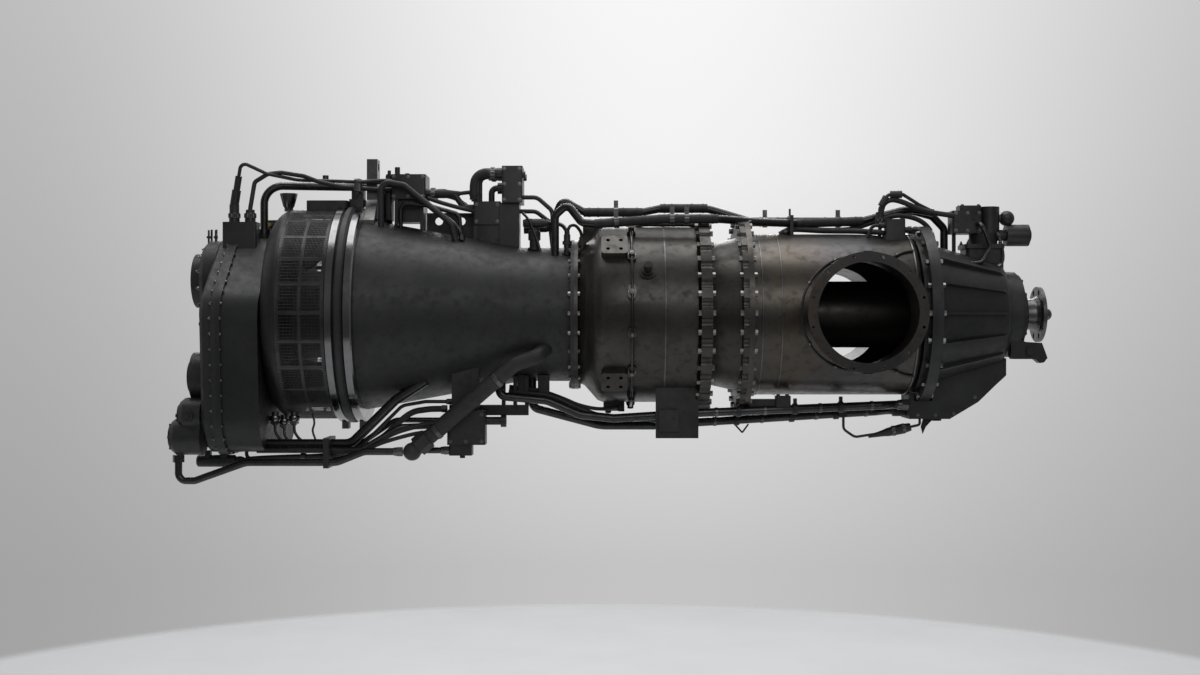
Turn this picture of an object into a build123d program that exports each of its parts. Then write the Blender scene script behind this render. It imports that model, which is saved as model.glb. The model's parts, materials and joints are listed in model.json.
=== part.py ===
"""Turboprop engine with a two-stage reduction gearbox, free power turbine and reverse-flow compressor.

Millimetres. X runs forward along the propeller shaft, Z is up, and the origin is the centre of the
propeller flange's front face. Stations along X are therefore negative inside the engine.
"""

from build123d import *
from math import acos, cos, pi, radians, sin, tan
import os

os.makedirs("parts", exist_ok=True)

# Fits and gaps
running_gap = 0.05
seat_gap = 0.3
side_gap = 2.0
bolt_gap = 0.3

# Propeller flange and shaft
prop_flange_radius = 63.5
prop_flange_thickness = 8.0
prop_bolt_count = 8
prop_bolt_circle = 53.0
prop_hole_radius = 6.5
pilot_radius = 13.6
pilot_reach = 27.0
shaft_radius = 34.5
shaft_bore = 22.0
shaft_root_radius = 42.0

# Reduction gearbox, front to rear
flange_to_cover = 28.0
cover_depth = 27.0
cover_rim_radius = 84.0
collar_radius = 98.0
collar_length = 27.0
front_wall = 8.0
nose_length = 86.0
nose_front_radius = 118.0
casing_wall = 6.0
nose_rib_angles = (42, 66, 90, 114, 138, 222, 246, 270, 294, 318)
nose_rib_height = 9.0
nose_rib_thickness = 6.0
bearing_outer_radius = 62.0
thrust_bearing_width = 25.0
roller_bearing_width = 24.0
carrier_plate = 12.0
second_planet_width = 38.0
second_rear_plate = 8.0
first_front_plate = 7.0
first_planet_width = 28.0
first_rear_plate = 6.0
diaphragm = 14.0
split_flange = 12.0
split_flange_radius = 202.0
gearbox_back_radius = 165.0
split_bolt_count = 20

# Gears
pressure_angle = radians(20)
tooth_thinning = 0.27
second_module = 3.2
second_sun_teeth = 32
second_planet_teeth = 18
second_planet_count = 5
first_module = 2.6
first_sun_teeth = 18
first_planet_teeth = 33
first_planet_count = 3
ring_wall = 8.0
accessory_module = 1.75
pinion_teeth = 20
starter_gear_teeth = 68
pump_gear_teeth = 64
idler_teeth = 60
pump_direction = 232.0
accessory_gear_width = 18.0

# Exhaust duct and its ports
duct_length = 388.0
duct_radius = 184.0
duct_sheet = 2.0
port_station = -445.0
port_bore = 107.0
port_base_radius = 122.0
port_flange_radius = 128.0
port_flange_face = 295.0
port_flange_thickness = 8.0
port_bolt_circle = 120.5
port_bolt_count = 12
port_hole_radius = 3.3
shaft_housing_radius = 76.0

# Big flanges, power turbine housing and gas generator case
big_flange_radius = 223.0
big_flange_thickness = 12.0
turbine_neck_front_radius = 175.0
turbine_neck_back_radius = 160.0
turbine_neck_length = 67.0
gas_case_radius = 201.0
gas_case_length = 214.0
gas_case_wall = 4.0
shoulder_length = 63.0
big_bolt_count = 32
case_bolt_radius = 4.0

# Compressor case, inlet and accessory gearbox
neck_radius = 153.0
neck_length = 120.0
neck_flange = 8.0
neck_flange_radius = 171.0
neck_bolt_count = 24
neck_bolt_radius = 3.0
compressor_wall = 4.0
cone_back_radius = 218.0
cone_length = 356.0
ring_radius = 246.0
front_ring_length = 20.0
seal_ring_length = 20.0
back_ring_length = 20.0
screen_radius = 239.0
screen_length = 106.0
screen_bar = 8.0
screen_bar_count = 24
tank_length = 40.0
hub_radius = 100.0
strut_count = 6
agb_housing_length = 90.0
agb_cover_length = 36.0
agb_wall = 9.0
agb_lobes = ((0, 77, 104), (-127, -20, 98), (127, -20, 98), (-112, -218, 95), (112, -218, 95))

# Rotors
power_shaft_radius = 19.0
power_disc_rim = 95.0
power_blade_tip = 142.0
power_blade_count = 30
turbine_disc_rim = 104.0
turbine_blade_tip = 136.0
turbine_blade_count = 28
gas_shaft_radius = 22.0
compressor_drum_radius = 80.0
compressor_blade_tip = 121.0
compressor_stage_count = 4
compressor_blade_count = 18
compressor_pitch = 36.0
impeller_radius = 128.0
impeller_vane_count = 16
tip_gap = 1.2

# Stations, worked out from the lengths above
flange_back = -prop_flange_thickness
cover_front = flange_back - flange_to_cover
cover_back = cover_front - cover_depth
collar_back = cover_back - collar_length
nose_back = collar_back - nose_length
second_front = nose_back - carrier_plate
second_planets = second_front - side_gap
second_rear = second_planets - second_planet_width - side_gap
first_front = second_rear - second_rear_plate - side_gap
first_planets = first_front - first_front_plate - side_gap
first_rear = first_planets - first_planet_width - side_gap
gearbox_split = first_planets - first_planet_width
diaphragm_front = first_rear - first_rear_plate - side_gap / 2
gearbox_back = diaphragm_front - diaphragm
duct_flange_front = gearbox_back - duct_length + big_flange_thickness
duct_back = gearbox_back - duct_length
turbine_flange_back = duct_back - big_flange_thickness
turbine_neck_back = turbine_flange_back - turbine_neck_length
gas_flange_front = turbine_neck_back - big_flange_thickness
gas_case_front = gas_flange_front - big_flange_thickness
shoulder_front = gas_case_front - gas_case_length
shoulder_back = shoulder_front - shoulder_length
neck_back = shoulder_back - neck_length
cone_back = neck_back - cone_length
front_ring_back = cone_back - front_ring_length
seal_ring_back = front_ring_back - seal_ring_length
back_ring_back = seal_ring_back - back_ring_length
screen_back = back_ring_back - screen_length
tank_back = screen_back - tank_length
agb_front = tank_back
agb_split = agb_front - agb_housing_length
agb_back = agb_split - agb_cover_length

# Gear sizes
second_sun_pitch = second_module * second_sun_teeth / 2
second_planet_pitch = second_module * second_planet_teeth / 2
second_ring_teeth = second_sun_teeth + 2 * second_planet_teeth
second_ring_pitch = second_module * second_ring_teeth / 2
second_arm = second_sun_pitch + second_planet_pitch
first_sun_pitch = first_module * first_sun_teeth / 2
first_planet_pitch = first_module * first_planet_teeth / 2
first_ring_teeth = first_sun_teeth + 2 * first_planet_teeth
first_ring_pitch = first_module * first_ring_teeth / 2
first_arm = first_sun_pitch + first_planet_pitch
second_ring_outer = second_ring_pitch + 1.25 * second_module + ring_wall + 3
first_ring_outer = first_ring_pitch + 1.25 * first_module + ring_wall + 3
nose_back_radius = second_ring_outer + 2 * casing_wall + 2
spigot_radius = first_ring_outer + ring_wall
carrier_radius = second_arm + second_planet_pitch * 0.62
first_carrier_radius = first_arm + first_planet_pitch * 0.75
second_pin_radius = 12.0
first_pin_radius = 14.0


def point_at(station, radius, angle):
    """A point at a station and a radius, with the angle in degrees from the top towards +Y."""
    return (station, radius * sin(radians(angle)), radius * cos(radians(angle)))


def plane_out(station, radius, angle=0):
    """A plane that faces away from the centre line, with its x direction forward."""
    outward = (0, sin(radians(angle)), cos(radians(angle)))
    return Plane(origin=point_at(station, radius, angle), x_dir=(1, 0, 0), z_dir=outward)


def plane_across(station, centre=(0, 0)):
    """A plane across the engine, facing forward, with its origin at a (y, z) centre."""
    return Plane(origin=(station, *centre), x_dir=(0, 1, 0), z_dir=(1, 0, 0))


def turn(*outline, mode=Mode.ADD):
    """Turn an outline of (station, radius) points about the engine's centre line."""
    with BuildSketch(Plane.XZ) as section:
        with BuildLine():
            Polyline(*outline, close=True)
        make_face()
    revolve(section.sketch, axis=Axis.X, mode=mode)


def band(front, length, inner, outer, mode=Mode.ADD):
    """A plain ring from its front station rearward."""
    turn((front, inner), (front, outer), (front - length, outer), (front - length, inner), mode=mode)


def disc(front, length, radius, centre=(0, 0), mode=Mode.ADD):
    """A disc across the engine from its front station rearward."""
    with BuildSketch(plane_across(front, centre)) as section:
        Circle(radius)
    extrude(section.sketch, amount=-length, mode=mode)


def drill(front, depth, circle, count, radius, start=0, centre=(0, 0), mode=Mode.SUBTRACT):
    """Holes on a circle across the engine, or studs when the mode adds them."""
    with BuildSketch(plane_across(front, centre)) as section:
        with PolarLocations(circle, count, start_angle=start):
            Circle(radius)
    extrude(section.sketch, amount=-depth, mode=mode)


def bolts_through(front, back, circle, count, radius=case_bolt_radius):
    """Hexagon bolts through a flange pair, heads ahead of its front face and nuts behind its back."""
    head = 1.7 * radius
    with BuildSketch(plane_across(front)) as section:
        with PolarLocations(circle, count):
            RegularPolygon(head, 6)
    extrude(section.sketch, amount=1.6 * radius)
    with BuildSketch(plane_across(front)) as section:
        with PolarLocations(circle, count):
            Circle(radius)
    extrude(section.sketch, amount=back - front)
    with BuildSketch(plane_across(back)) as section:
        with PolarLocations(circle, count):
            RegularPolygon(head, 6)
    extrude(section.sketch, amount=-1.8 * radius)


def pipe(*route, bend, radius):
    """A round tube along straight runs joined by tangent arcs."""
    with BuildLine() as line:
        if len(route) > 2:
            FilletPolyline(*route, radius=bend)
        else:
            Polyline(*route)
    path = line.wires()[0]
    with BuildSketch(Plane(origin=route[0], z_dir=path % 0)) as section:
        Circle(radius)
    sweep(section.sketch, path=path)


def nut(point, towards, radius, length):
    """A hexagon union nut that starts at a point and runs towards another."""
    direction = Vector(*towards) - Vector(*point)
    with BuildSketch(Plane(origin=point, z_dir=direction)) as section:
        RegularPolygon(radius, 6)
    extrude(section.sketch, amount=length)


def collar(point, towards, radius, length):
    """A round ferrule that starts at a point and runs towards another."""
    direction = Vector(*towards) - Vector(*point)
    with BuildSketch(Plane(origin=point, z_dir=direction)) as section:
        Circle(radius)
    extrude(section.sketch, amount=length)


def lathe(centre, *outline):
    """Turn an outline of (station, radius) points about an axis along X through a (y, z) centre."""
    with BuildSketch(Plane(origin=(0, *centre), x_dir=(1, 0, 0), z_dir=(0, -1, 0))) as section:
        with BuildLine():
            Polyline(*outline, close=True)
        make_face()
    revolve(section.sketch, axis=Axis((0, *centre), (1, 0, 0)))


def involute(angle):
    """The involute function of a pressure angle in radians."""
    return tan(angle) - angle


def gear_face(teeth, module, phase, inner, outer, thinning, bore=0, rim=0):
    """Make a spur gear's face, or a ring gear's when a rim is given, with a tooth at the phase angle.

    For a ring gear the toothed outline is the hole, so inner is the tooth tips and outer the roots.
    """
    pitch_radius = module * teeth / 2
    base_radius = pitch_radius * cos(pressure_angle)
    at_pitch = pi / (2 * teeth) - thinning / (2 * pitch_radius) + involute(pressure_angle)
    flank_start = max(inner, base_radius * 1.0005)
    flank_radii = [flank_start + (outer - flank_start) * share for share in (0, 0.5, 1)]
    half_angles = [at_pitch - involute(acos(base_radius / radius)) for radius in flank_radii]

    def polar(radius, angle):
        return (radius * cos(angle), radius * sin(angle))

    pitch_angle = 2 * pi / teeth
    root_half = half_angles[0]
    centre = radians(phase)
    rising = [polar(r, centre - a) for r, a in zip(flank_radii, half_angles)]
    falling = [polar(r, centre + a) for r, a in zip(flank_radii, half_angles)][::-1]
    next_root = centre + pitch_angle - root_half
    middle = (centre + root_half + next_root) / 2
    with BuildLine() as tooth:
        if flank_start > inner + 0.01:
            Line(polar(inner, centre - root_half), rising[0])
            Line(falling[-1], polar(inner, centre + root_half))
        Spline(*rising)
        ThreePointArc(rising[-1], polar(outer, centre), falling[0])
        Spline(*falling)
        ThreePointArc(polar(inner, centre + root_half), polar(inner, middle), polar(inner, next_root))
    outline = [
        edge.rotate(Axis.Z, index * 360 / teeth) for index in range(teeth) for edge in tooth.edges()
    ]
    if rim:
        Circle(rim)
        make_face(outline, mode=Mode.SUBTRACT)
    else:
        make_face(outline)
    if bore:
        Circle(bore, mode=Mode.SUBTRACT)


def external_gear(teeth, module, phase, bore=0):
    """A spur gear's face with standard tooth heights."""
    pitch_radius = module * teeth / 2
    gear_face(
        teeth, module, phase, pitch_radius - 1.25 * module, pitch_radius + module, tooth_thinning, bore
    )


def internal_gear(teeth, module, phase, rim):
    """A ring gear's face with short teeth, so that no tooth tip meets a planet's root."""
    pitch_radius = module * teeth / 2
    gear_face(
        teeth, module, phase, pitch_radius - 0.85 * module, pitch_radius + 1.25 * module,
        -tooth_thinning, rim=rim,
    )


def driven_phase(driver_phase, driver_teeth, driven_teeth, direction):
    """Where a driven gear has a tooth, so that it meshes with its driver in the given direction."""
    pitches = ((direction - driver_phase) * driver_teeth / 360) % 1
    return direction + 180 + (pitches - 0.5) * 360 / driven_teeth


def ring_phase(planet_phase, planet_teeth, ring_teeth, direction):
    """Where a ring gear has a tooth space for the planet that lies in the given direction."""
    pitches = ((direction - planet_phase) * planet_teeth / 360) % 1
    return direction - pitches * 360 / ring_teeth


def blade_row(station, root, tip, count, chord, stagger, camber, thickness):
    """Curved blades that stand on a drum, each a crescent section carried outward."""

    def turned(x, y):
        angle = radians(stagger)
        return (x * cos(angle) - y * sin(angle), x * sin(angle) + y * cos(angle))

    planes = [plane_out(station, root - 1, index * 360 / count) for index in range(count)]
    with BuildSketch(*planes) as section:
        with BuildLine():
            ThreePointArc(turned(-chord / 2, 0), turned(0, camber + thickness), turned(chord / 2, 0))
            ThreePointArc(turned(-chord / 2, 0), turned(0, camber), turned(chord / 2, 0))
        make_face()
    extrude(section.sketch, amount=tip - root + 1)


# Shaft bearings: the outer races stay in the casings, the inner races turn with the shaft
thrust_front = cover_back - 7
roller_front = thrust_front - thrust_bearing_width - 3
race_depth = 8.0
ball_radius = (bearing_outer_radius - race_depth - shaft_radius - race_depth) / 2 - running_gap
ball_circle = (bearing_outer_radius + shaft_radius) / 2

# Propeller flange, pilot and shaft, with the second-stage carrier's front plate and the inner races
with BuildPart() as propeller_shaft:
    bearing_seat_back = cover_back - 7 - thrust_bearing_width
    turn(
        (-30, 0),
        (-30, shaft_bore),
        (second_front, shaft_bore),
        (second_front, carrier_radius),
        (nose_back, carrier_radius),
        (nose_back, 70),
        (nose_back + 30, 46),
        (bearing_seat_back - 30, 40),
        (bearing_seat_back - 30, shaft_radius),
        (flange_back - 20, shaft_radius),
        (flange_back - 8, shaft_radius + 2),
        (flange_back, shaft_root_radius),
        (flange_back, prop_flange_radius),
        (0, prop_flange_radius),
        (0, 0),
    )
    with BuildSketch(Plane.XZ):
        with BuildLine():
            Polyline((0, 0), (0, pilot_radius), (pilot_reach - 10, pilot_radius))
            ThreePointArc(
                (pilot_reach - 10, pilot_radius), (pilot_reach - 2.5, pilot_radius * 0.68), (pilot_reach, 4)
            )
            Polyline((pilot_reach, 4), (pilot_reach, 0), (0, 0))
        make_face()
    revolve(axis=Axis.X)
    drill(0, prop_flange_thickness, prop_bolt_circle, prop_bolt_count, prop_hole_radius, start=22.5)
    band(thrust_front, thrust_bearing_width, shaft_radius, shaft_radius + race_depth)
    band(roller_front, roller_bearing_width, shaft_radius, shaft_radius + race_depth)
    ball_places = [
        point_at(thrust_front - thrust_bearing_width / 2, ball_circle, index * 360 / 18)
        for index in range(18)
    ]
    with Locations(*ball_places):
        Sphere(ball_radius)
    drill(roller_front - 3, roller_bearing_width - 6, ball_circle, 18, ball_radius, mode=Mode.ADD)
propeller_shaft.part.label = "propeller_shaft"
export_step(propeller_shaft.part, "parts/propeller_shaft.step")

# Thrust bearing cover: a domed shell with a seal bore round the shaft
with BuildPart() as thrust_bearing_cover:
    with BuildSketch(Plane.XZ):
        with BuildLine():
            seal_radius = shaft_radius + 0.5
            Line((cover_front, seal_radius), (cover_front, seal_radius + 6))
            ThreePointArc(
                (cover_front, seal_radius + 6), (cover_front - 9, 66), (cover_back + 8, cover_rim_radius - 4)
            )
            Polyline(
                (cover_back + 8, cover_rim_radius - 4),
                (cover_back + 8, cover_rim_radius + 8),
                (cover_back, cover_rim_radius + 8),
                (cover_back, cover_rim_radius - 12),
            )
            ThreePointArc(
                (cover_back, cover_rim_radius - 12), (cover_front - 14, 58), (cover_front - 9, seal_radius)
            )
            Line((cover_front - 9, seal_radius), (cover_front, seal_radius))
        make_face()
    revolve(axis=Axis.X)
    with BuildSketch(plane_across(cover_back + 8)):
        with PolarLocations(cover_rim_radius + 2, 12):
            RegularPolygon(4.5, 6)
    extrude(amount=4)
thrust_bearing_cover.part.label = "thrust_bearing_cover"
export_step(thrust_bearing_cover.part, "parts/thrust_bearing_cover.step")

# Gearbox front housing: collar, flaring nose shell, ring gear land and split flange
with BuildPart() as gearbox_front_housing:
    roller_back = cover_back - 7 - thrust_bearing_width - 3 - roller_bearing_width
    turn(
        (cover_back, bearing_outer_radius),
        (cover_back, collar_radius),
        (collar_back, collar_radius),
        (collar_back - 5, nose_front_radius - 6),
        (collar_back - 12, nose_front_radius),
        (nose_back, nose_back_radius),
        (gearbox_split + split_flange + 6, gearbox_back_radius - 4),
        (gearbox_split + split_flange, gearbox_back_radius + 4),
        (gearbox_split + split_flange, split_flange_radius),
        (gearbox_split, split_flange_radius),
        (gearbox_split, spigot_radius + seat_gap),
        (second_rear - second_rear_plate, spigot_radius + seat_gap),
        (second_rear - second_rear_plate, second_ring_outer),
        (second_planets + side_gap, second_ring_outer),
        (nose_back + side_gap, carrier_radius + 6),
        (collar_back - front_wall - 12, nose_front_radius - 12),
        (collar_back - front_wall, bearing_outer_radius + 16),
        (roller_back, bearing_outer_radius + 8),
        (roller_back, bearing_outer_radius),
    )
    rib_planes = [
        Plane(
            origin=(0, 0, 0), x_dir=(1, 0, 0), z_dir=(0, -cos(radians(angle)), sin(radians(angle))),
        )
        for angle in nose_rib_angles
    ]
    with BuildSketch(*rib_planes):
        with BuildLine():
            Polyline(
                (collar_back - 12, nose_front_radius - 2),
                (collar_back - 22, nose_front_radius + nose_rib_height),
                (nose_back, nose_back_radius + nose_rib_height),
                (gearbox_split + split_flange - 1, gearbox_back_radius + nose_rib_height),
                (gearbox_split + split_flange - 1, gearbox_back_radius - 2),
                (gearbox_split + split_flange + 6, gearbox_back_radius - 6),
                (nose_back, nose_back_radius - 2),
                close=True,
            )
        make_face()
    extrude(amount=nose_rib_thickness / 2, both=True)
    drill(
        gearbox_split + split_flange, split_flange, split_flange_radius - 10, split_bolt_count,
        case_bolt_radius + bolt_gap,
    )
gearbox_front_housing.part.label = "gearbox_front_housing"
export_step(gearbox_front_housing.part, "parts/gearbox_front_housing.step")

# Gearbox rear housing: diaphragm, flange and the spigot that holds the first-stage ring
with BuildPart() as gearbox_rear_housing:
    turn(
        (gearbox_split, first_ring_outer),
        (first_front - side_gap, first_ring_outer),
        (first_front - side_gap, spigot_radius),
        (gearbox_split, spigot_radius),
        (gearbox_split, split_flange_radius),
        (gearbox_split - split_flange, split_flange_radius),
        (gearbox_split - split_flange, duct_radius - 6),
        (gearbox_back, duct_radius - 6),
        (gearbox_back, power_shaft_radius + 17),
        (diaphragm_front, power_shaft_radius + 17),
        (diaphragm_front, first_ring_outer),
    )
    drill(
        gearbox_split, split_flange, split_flange_radius - 10, split_bolt_count, case_bolt_radius + bolt_gap
    )
gearbox_rear_housing.part.label = "gearbox_rear_housing"
export_step(gearbox_rear_housing.part, "parts/gearbox_rear_housing.step")

# Second-stage carrier: rear plate, spacer posts and planet pins
with BuildPart() as second_stage_carrier:
    band(second_rear, second_rear_plate, second_sun_pitch + 3 * second_module, carrier_radius)
    post_angle = 180 / second_planet_count
    drill(
        second_front, second_front - second_rear, carrier_radius - 13, second_planet_count, 10,
        start=post_angle, mode=Mode.ADD,
    )
    drill(
        second_front, second_front - second_rear, second_arm, second_planet_count, second_pin_radius,
        mode=Mode.ADD,
    )
second_stage_carrier.part.label = "second_stage_carrier"
export_step(second_stage_carrier.part, "parts/second_stage_carrier.step")

# Second-stage planets, each turning on its own pin
second_sun_phase = 0.0
second_centres = [
    (second_arm * cos(radians(angle)), second_arm * sin(radians(angle)))
    for angle in [index * 360 / second_planet_count for index in range(second_planet_count)]
]
for index, centre in enumerate(second_centres):
    direction = index * 360 / second_planet_count
    phase = driven_phase(second_sun_phase, second_sun_teeth, second_planet_teeth, direction)
    if index == 0:
        second_ring_phase = ring_phase(phase, second_planet_teeth, second_ring_teeth, direction)
    with BuildPart() as second_planet:
        with BuildSketch(plane_across(second_planets, centre)):
            external_gear(second_planet_teeth, second_module, phase, second_pin_radius + running_gap)
        extrude(amount=-second_planet_width)
    second_planet.part.label = f"second_stage_planet_{index + 1}"
    export_step(second_planet.part, f"parts/second_stage_planet_{index + 1}.step")

# First-stage carrier: two plates, posts and planet pins, with the second-stage sun on its front
with BuildPart() as first_stage_carrier:
    with BuildSketch(plane_across(second_planets + side_gap / 2)):
        external_gear(second_sun_teeth, second_module, second_sun_phase, second_sun_pitch - 12)
    extrude(amount=-(second_planet_width + side_gap))
    neck_front = second_planets - second_planet_width - side_gap / 2
    band(neck_front, neck_front - first_front, second_sun_pitch - 12, second_sun_pitch - 4.5)
    band(first_front, first_front_plate, 14, first_carrier_radius)
    band(first_rear, first_rear_plate, first_sun_pitch + 3 * first_module, first_carrier_radius)
    drill(
        first_front, first_front - first_rear, first_carrier_radius - 15, first_planet_count, 13,
        start=180 / first_planet_count, mode=Mode.ADD,
    )
    drill(
        first_front, first_front - first_rear, first_arm, first_planet_count, first_pin_radius,
        mode=Mode.ADD,
    )
first_stage_carrier.part.label = "first_stage_carrier"
export_step(first_stage_carrier.part, "parts/first_stage_carrier.step")

# First-stage planets
first_sun_phase = 0.0
first_centres = [
    (first_arm * cos(radians(angle)), first_arm * sin(radians(angle)))
    for angle in [index * 360 / first_planet_count for index in range(first_planet_count)]
]
for index, centre in enumerate(first_centres):
    direction = index * 360 / first_planet_count
    phase = driven_phase(first_sun_phase, first_sun_teeth, first_planet_teeth, direction)
    if index == 0:
        first_ring_phase = ring_phase(phase, first_planet_teeth, first_ring_teeth, direction)
    with BuildPart() as first_planet:
        with BuildSketch(plane_across(first_planets, centre)):
            external_gear(first_planet_teeth, first_module, phase, first_pin_radius + running_gap)
        extrude(amount=-first_planet_width)
    first_planet.part.label = f"first_stage_planet_{index + 1}"
    export_step(first_planet.part, f"parts/first_stage_planet_{index + 1}.step")

# Ring gears: the second stage's sits in the front housing's land, the first stage's in the spigot
with BuildPart() as ring_gears:
    with BuildSketch(plane_across(second_planets)):
        internal_gear(second_ring_teeth, second_module, second_ring_phase, second_ring_outer)
    extrude(amount=-second_planet_width)
    with BuildSketch(plane_across(first_planets)):
        internal_gear(first_ring_teeth, first_module, first_ring_phase, first_ring_outer)
    extrude(amount=-first_planet_width)
ring_gears.part.label = "ring_gears"
export_step(ring_gears.part, "parts/ring_gears.step")

# Power turbine: the shaft with the first-stage sun on its front end, and two bladed discs
power_disc_width = 22.0
power_disc_fronts = [turbine_flange_back - 4, turbine_flange_back - 4 - 2 * power_disc_width - 4]
power_shaft_back = power_disc_fronts[-1] - power_disc_width - 6
with BuildPart() as power_turbine:
    with BuildSketch(plane_across(first_planets + side_gap / 2)):
        external_gear(first_sun_teeth, first_module, first_sun_phase, 11)
    extrude(amount=-(first_planet_width + side_gap))
    sun_back = first_planets - first_planet_width - side_gap / 2
    turn(
        (sun_back, 11),
        (sun_back, power_shaft_radius),
        (duct_flange_front + 60, power_shaft_radius),
        (duct_flange_front + 30, power_shaft_radius + 7),
        (power_shaft_back, power_shaft_radius + 7),
        (power_shaft_back, 11),
    )
    bore = power_shaft_radius + 7
    for front in power_disc_fronts:
        middle = front - power_disc_width / 2
        turn(
            (front, bore),
            (front, bore + 14),
            (middle + 4, bore + 24),
            (middle + 4, power_disc_rim - 12),
            (front - 2, power_disc_rim - 4),
            (front - 2, power_disc_rim),
            (front - power_disc_width + 2, power_disc_rim),
            (front - power_disc_width + 2, power_disc_rim - 4),
            (middle - 4, power_disc_rim - 12),
            (middle - 4, bore + 24),
            (front - power_disc_width, bore + 14),
            (front - power_disc_width, bore),
        )
        blade_row(middle, power_disc_rim, power_blade_tip, power_blade_count, 19, 30, 3.5, 2)
power_turbine.part.label = "power_turbine"
export_step(power_turbine.part, "parts/power_turbine.step")

# Shaft housing: the duct's inner tube, with the power turbine shaft's bearings at its ends
rear_bearing_front = duct_back + 76
with BuildPart() as shaft_housing:
    turn(
        (gearbox_back, power_shaft_radius + 17),
        (gearbox_back, shaft_housing_radius + 14),
        (gearbox_back - 8, shaft_housing_radius + 14),
        (gearbox_back - 8, shaft_housing_radius),
        (duct_back + 90, shaft_housing_radius),
        (duct_back + 4, power_disc_rim - 2),
        (turbine_flange_back + 2, power_disc_rim - 2),
        (turbine_flange_back + 2, power_disc_rim - 8),
        (duct_back + 4, power_disc_rim - 8),
        (duct_back + 90, shaft_housing_radius - 6),
        (gearbox_back - 14, shaft_housing_radius - 6),
        (gearbox_back - 14, power_shaft_radius + 17),
    )
    turn(
        (rear_bearing_front, power_shaft_radius + 17),
        (rear_bearing_front, shaft_housing_radius - 2),
        (rear_bearing_front - 20, shaft_housing_radius + 2),
        (rear_bearing_front - 20, power_shaft_radius + 17),
    )
shaft_housing.part.label = "shaft_housing"
export_step(shaft_housing.part, "parts/shaft_housing.step")


def port_plane(side, distance):
    """A plane across an exhaust port at a distance from the centre line, facing out of its side."""
    return Plane(origin=(port_station, side * distance, 0), x_dir=(1, 0, 0), z_dir=(0, side, 0))


# Exhaust duct: a sheet shell with a closed front, two conical stubs and their bolted flanges
with BuildPart() as exhaust_duct:
    turn(
        (gearbox_back, 0),
        (gearbox_back, duct_radius - 20),
        (gearbox_back - 6, duct_radius - 6),
        (gearbox_back - 20, duct_radius),
        (duct_back, duct_radius),
        (duct_back, 0),
    )
    for side in (1, -1):
        with BuildSketch(port_plane(side, 0)):
            Circle(port_base_radius)
        with BuildSketch(port_plane(side, port_flange_face - 4)):
            Circle(port_bore + duct_sheet)
        loft()
    band(duct_flange_front, big_flange_thickness, duct_radius - 10, big_flange_radius)
    for side in (1, -1):
        with BuildSketch(port_plane(side, port_flange_face)):
            Circle(port_flange_radius)
        extrude(amount=-port_flange_thickness)
        with BuildSketch(port_plane(side, port_flange_face - port_flange_thickness)):
            with Locations((0, port_flange_radius - 14), (0, 14 - port_flange_radius)):
                Rectangle(20, 32)
        extrude(amount=-8)
    turn(
        (gearbox_back - duct_sheet, 0),
        (gearbox_back - duct_sheet, duct_radius - 20),
        (gearbox_back - 8, duct_radius - 8),
        (gearbox_back - 21, duct_radius - duct_sheet),
        (duct_back, duct_radius - duct_sheet),
        (duct_back, 0),
        mode=Mode.SUBTRACT,
    )
    for side in (1, -1):
        with BuildSketch(port_plane(side, 0)):
            Circle(port_base_radius - duct_sheet)
        with BuildSketch(port_plane(side, port_flange_face)):
            Circle(port_bore)
        loft(mode=Mode.SUBTRACT)
        with BuildSketch(port_plane(side, port_flange_face)):
            with PolarLocations(port_bolt_circle, port_bolt_count, start_angle=15):
                Circle(port_hole_radius)
        extrude(amount=-port_flange_thickness, mode=Mode.SUBTRACT)
    disc(gearbox_back, duct_sheet + 1, shaft_housing_radius + 14 + seat_gap, mode=Mode.SUBTRACT)
    drill(
        duct_flange_front, big_flange_thickness, big_flange_radius - 10, big_bolt_count,
        case_bolt_radius + bolt_gap,
    )
exhaust_duct.part.label = "exhaust_duct"
export_step(exhaust_duct.part, "parts/exhaust_duct.step")

# Power turbine housing: the necked shell between the two big bolted flanges
with BuildPart() as power_turbine_housing:
    turn(
        (duct_back, power_blade_tip + tip_gap),
        (duct_back, big_flange_radius),
        (turbine_flange_back, big_flange_radius),
        (turbine_flange_back, turbine_neck_front_radius),
        (turbine_neck_back, turbine_neck_back_radius),
        (turbine_neck_back, big_flange_radius),
        (gas_flange_front, big_flange_radius),
        (gas_flange_front, power_blade_tip + tip_gap),
    )
    for front in (duct_back, turbine_neck_back):
        drill(
            front, big_flange_thickness, big_flange_radius - 10, big_bolt_count, case_bolt_radius + bolt_gap
        )
        with BuildSketch(plane_across(front)):
            with PolarLocations(big_flange_radius + 7, big_bolt_count, start_angle=180 / big_bolt_count):
                Circle(13)
        extrude(amount=-big_flange_thickness, mode=Mode.SUBTRACT)
power_turbine_housing.part.label = "power_turbine_housing"
export_step(power_turbine_housing.part, "parts/power_turbine_housing.step")

vane_count = 16

# Gas generator case: scalloped flange, drum, shoulder, mount pads and nozzle bosses
mount_angles = (45, 135, 225, 315)
mount_station = shoulder_front + 26
mount_face = gas_case_radius + 14
mount_bolt_circle = 20.0
mount_hole_radius = 4.3
nozzle_count = 14
nozzle_station = gas_case_front - 150
nozzle_stem_radius = 4.0
igniter_station = nozzle_station + 34
igniter_angles = (64, 296)
igniter_steps = ((5, 8, 17), (14, 12, 12), (38, 26, 8), (31, 6, 10))


def nozzle_ring(radius):
    """Planes that face outward at each fuel nozzle."""
    return [plane_out(nozzle_station, radius, index * 360 / nozzle_count) for index in range(nozzle_count)]


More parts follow.
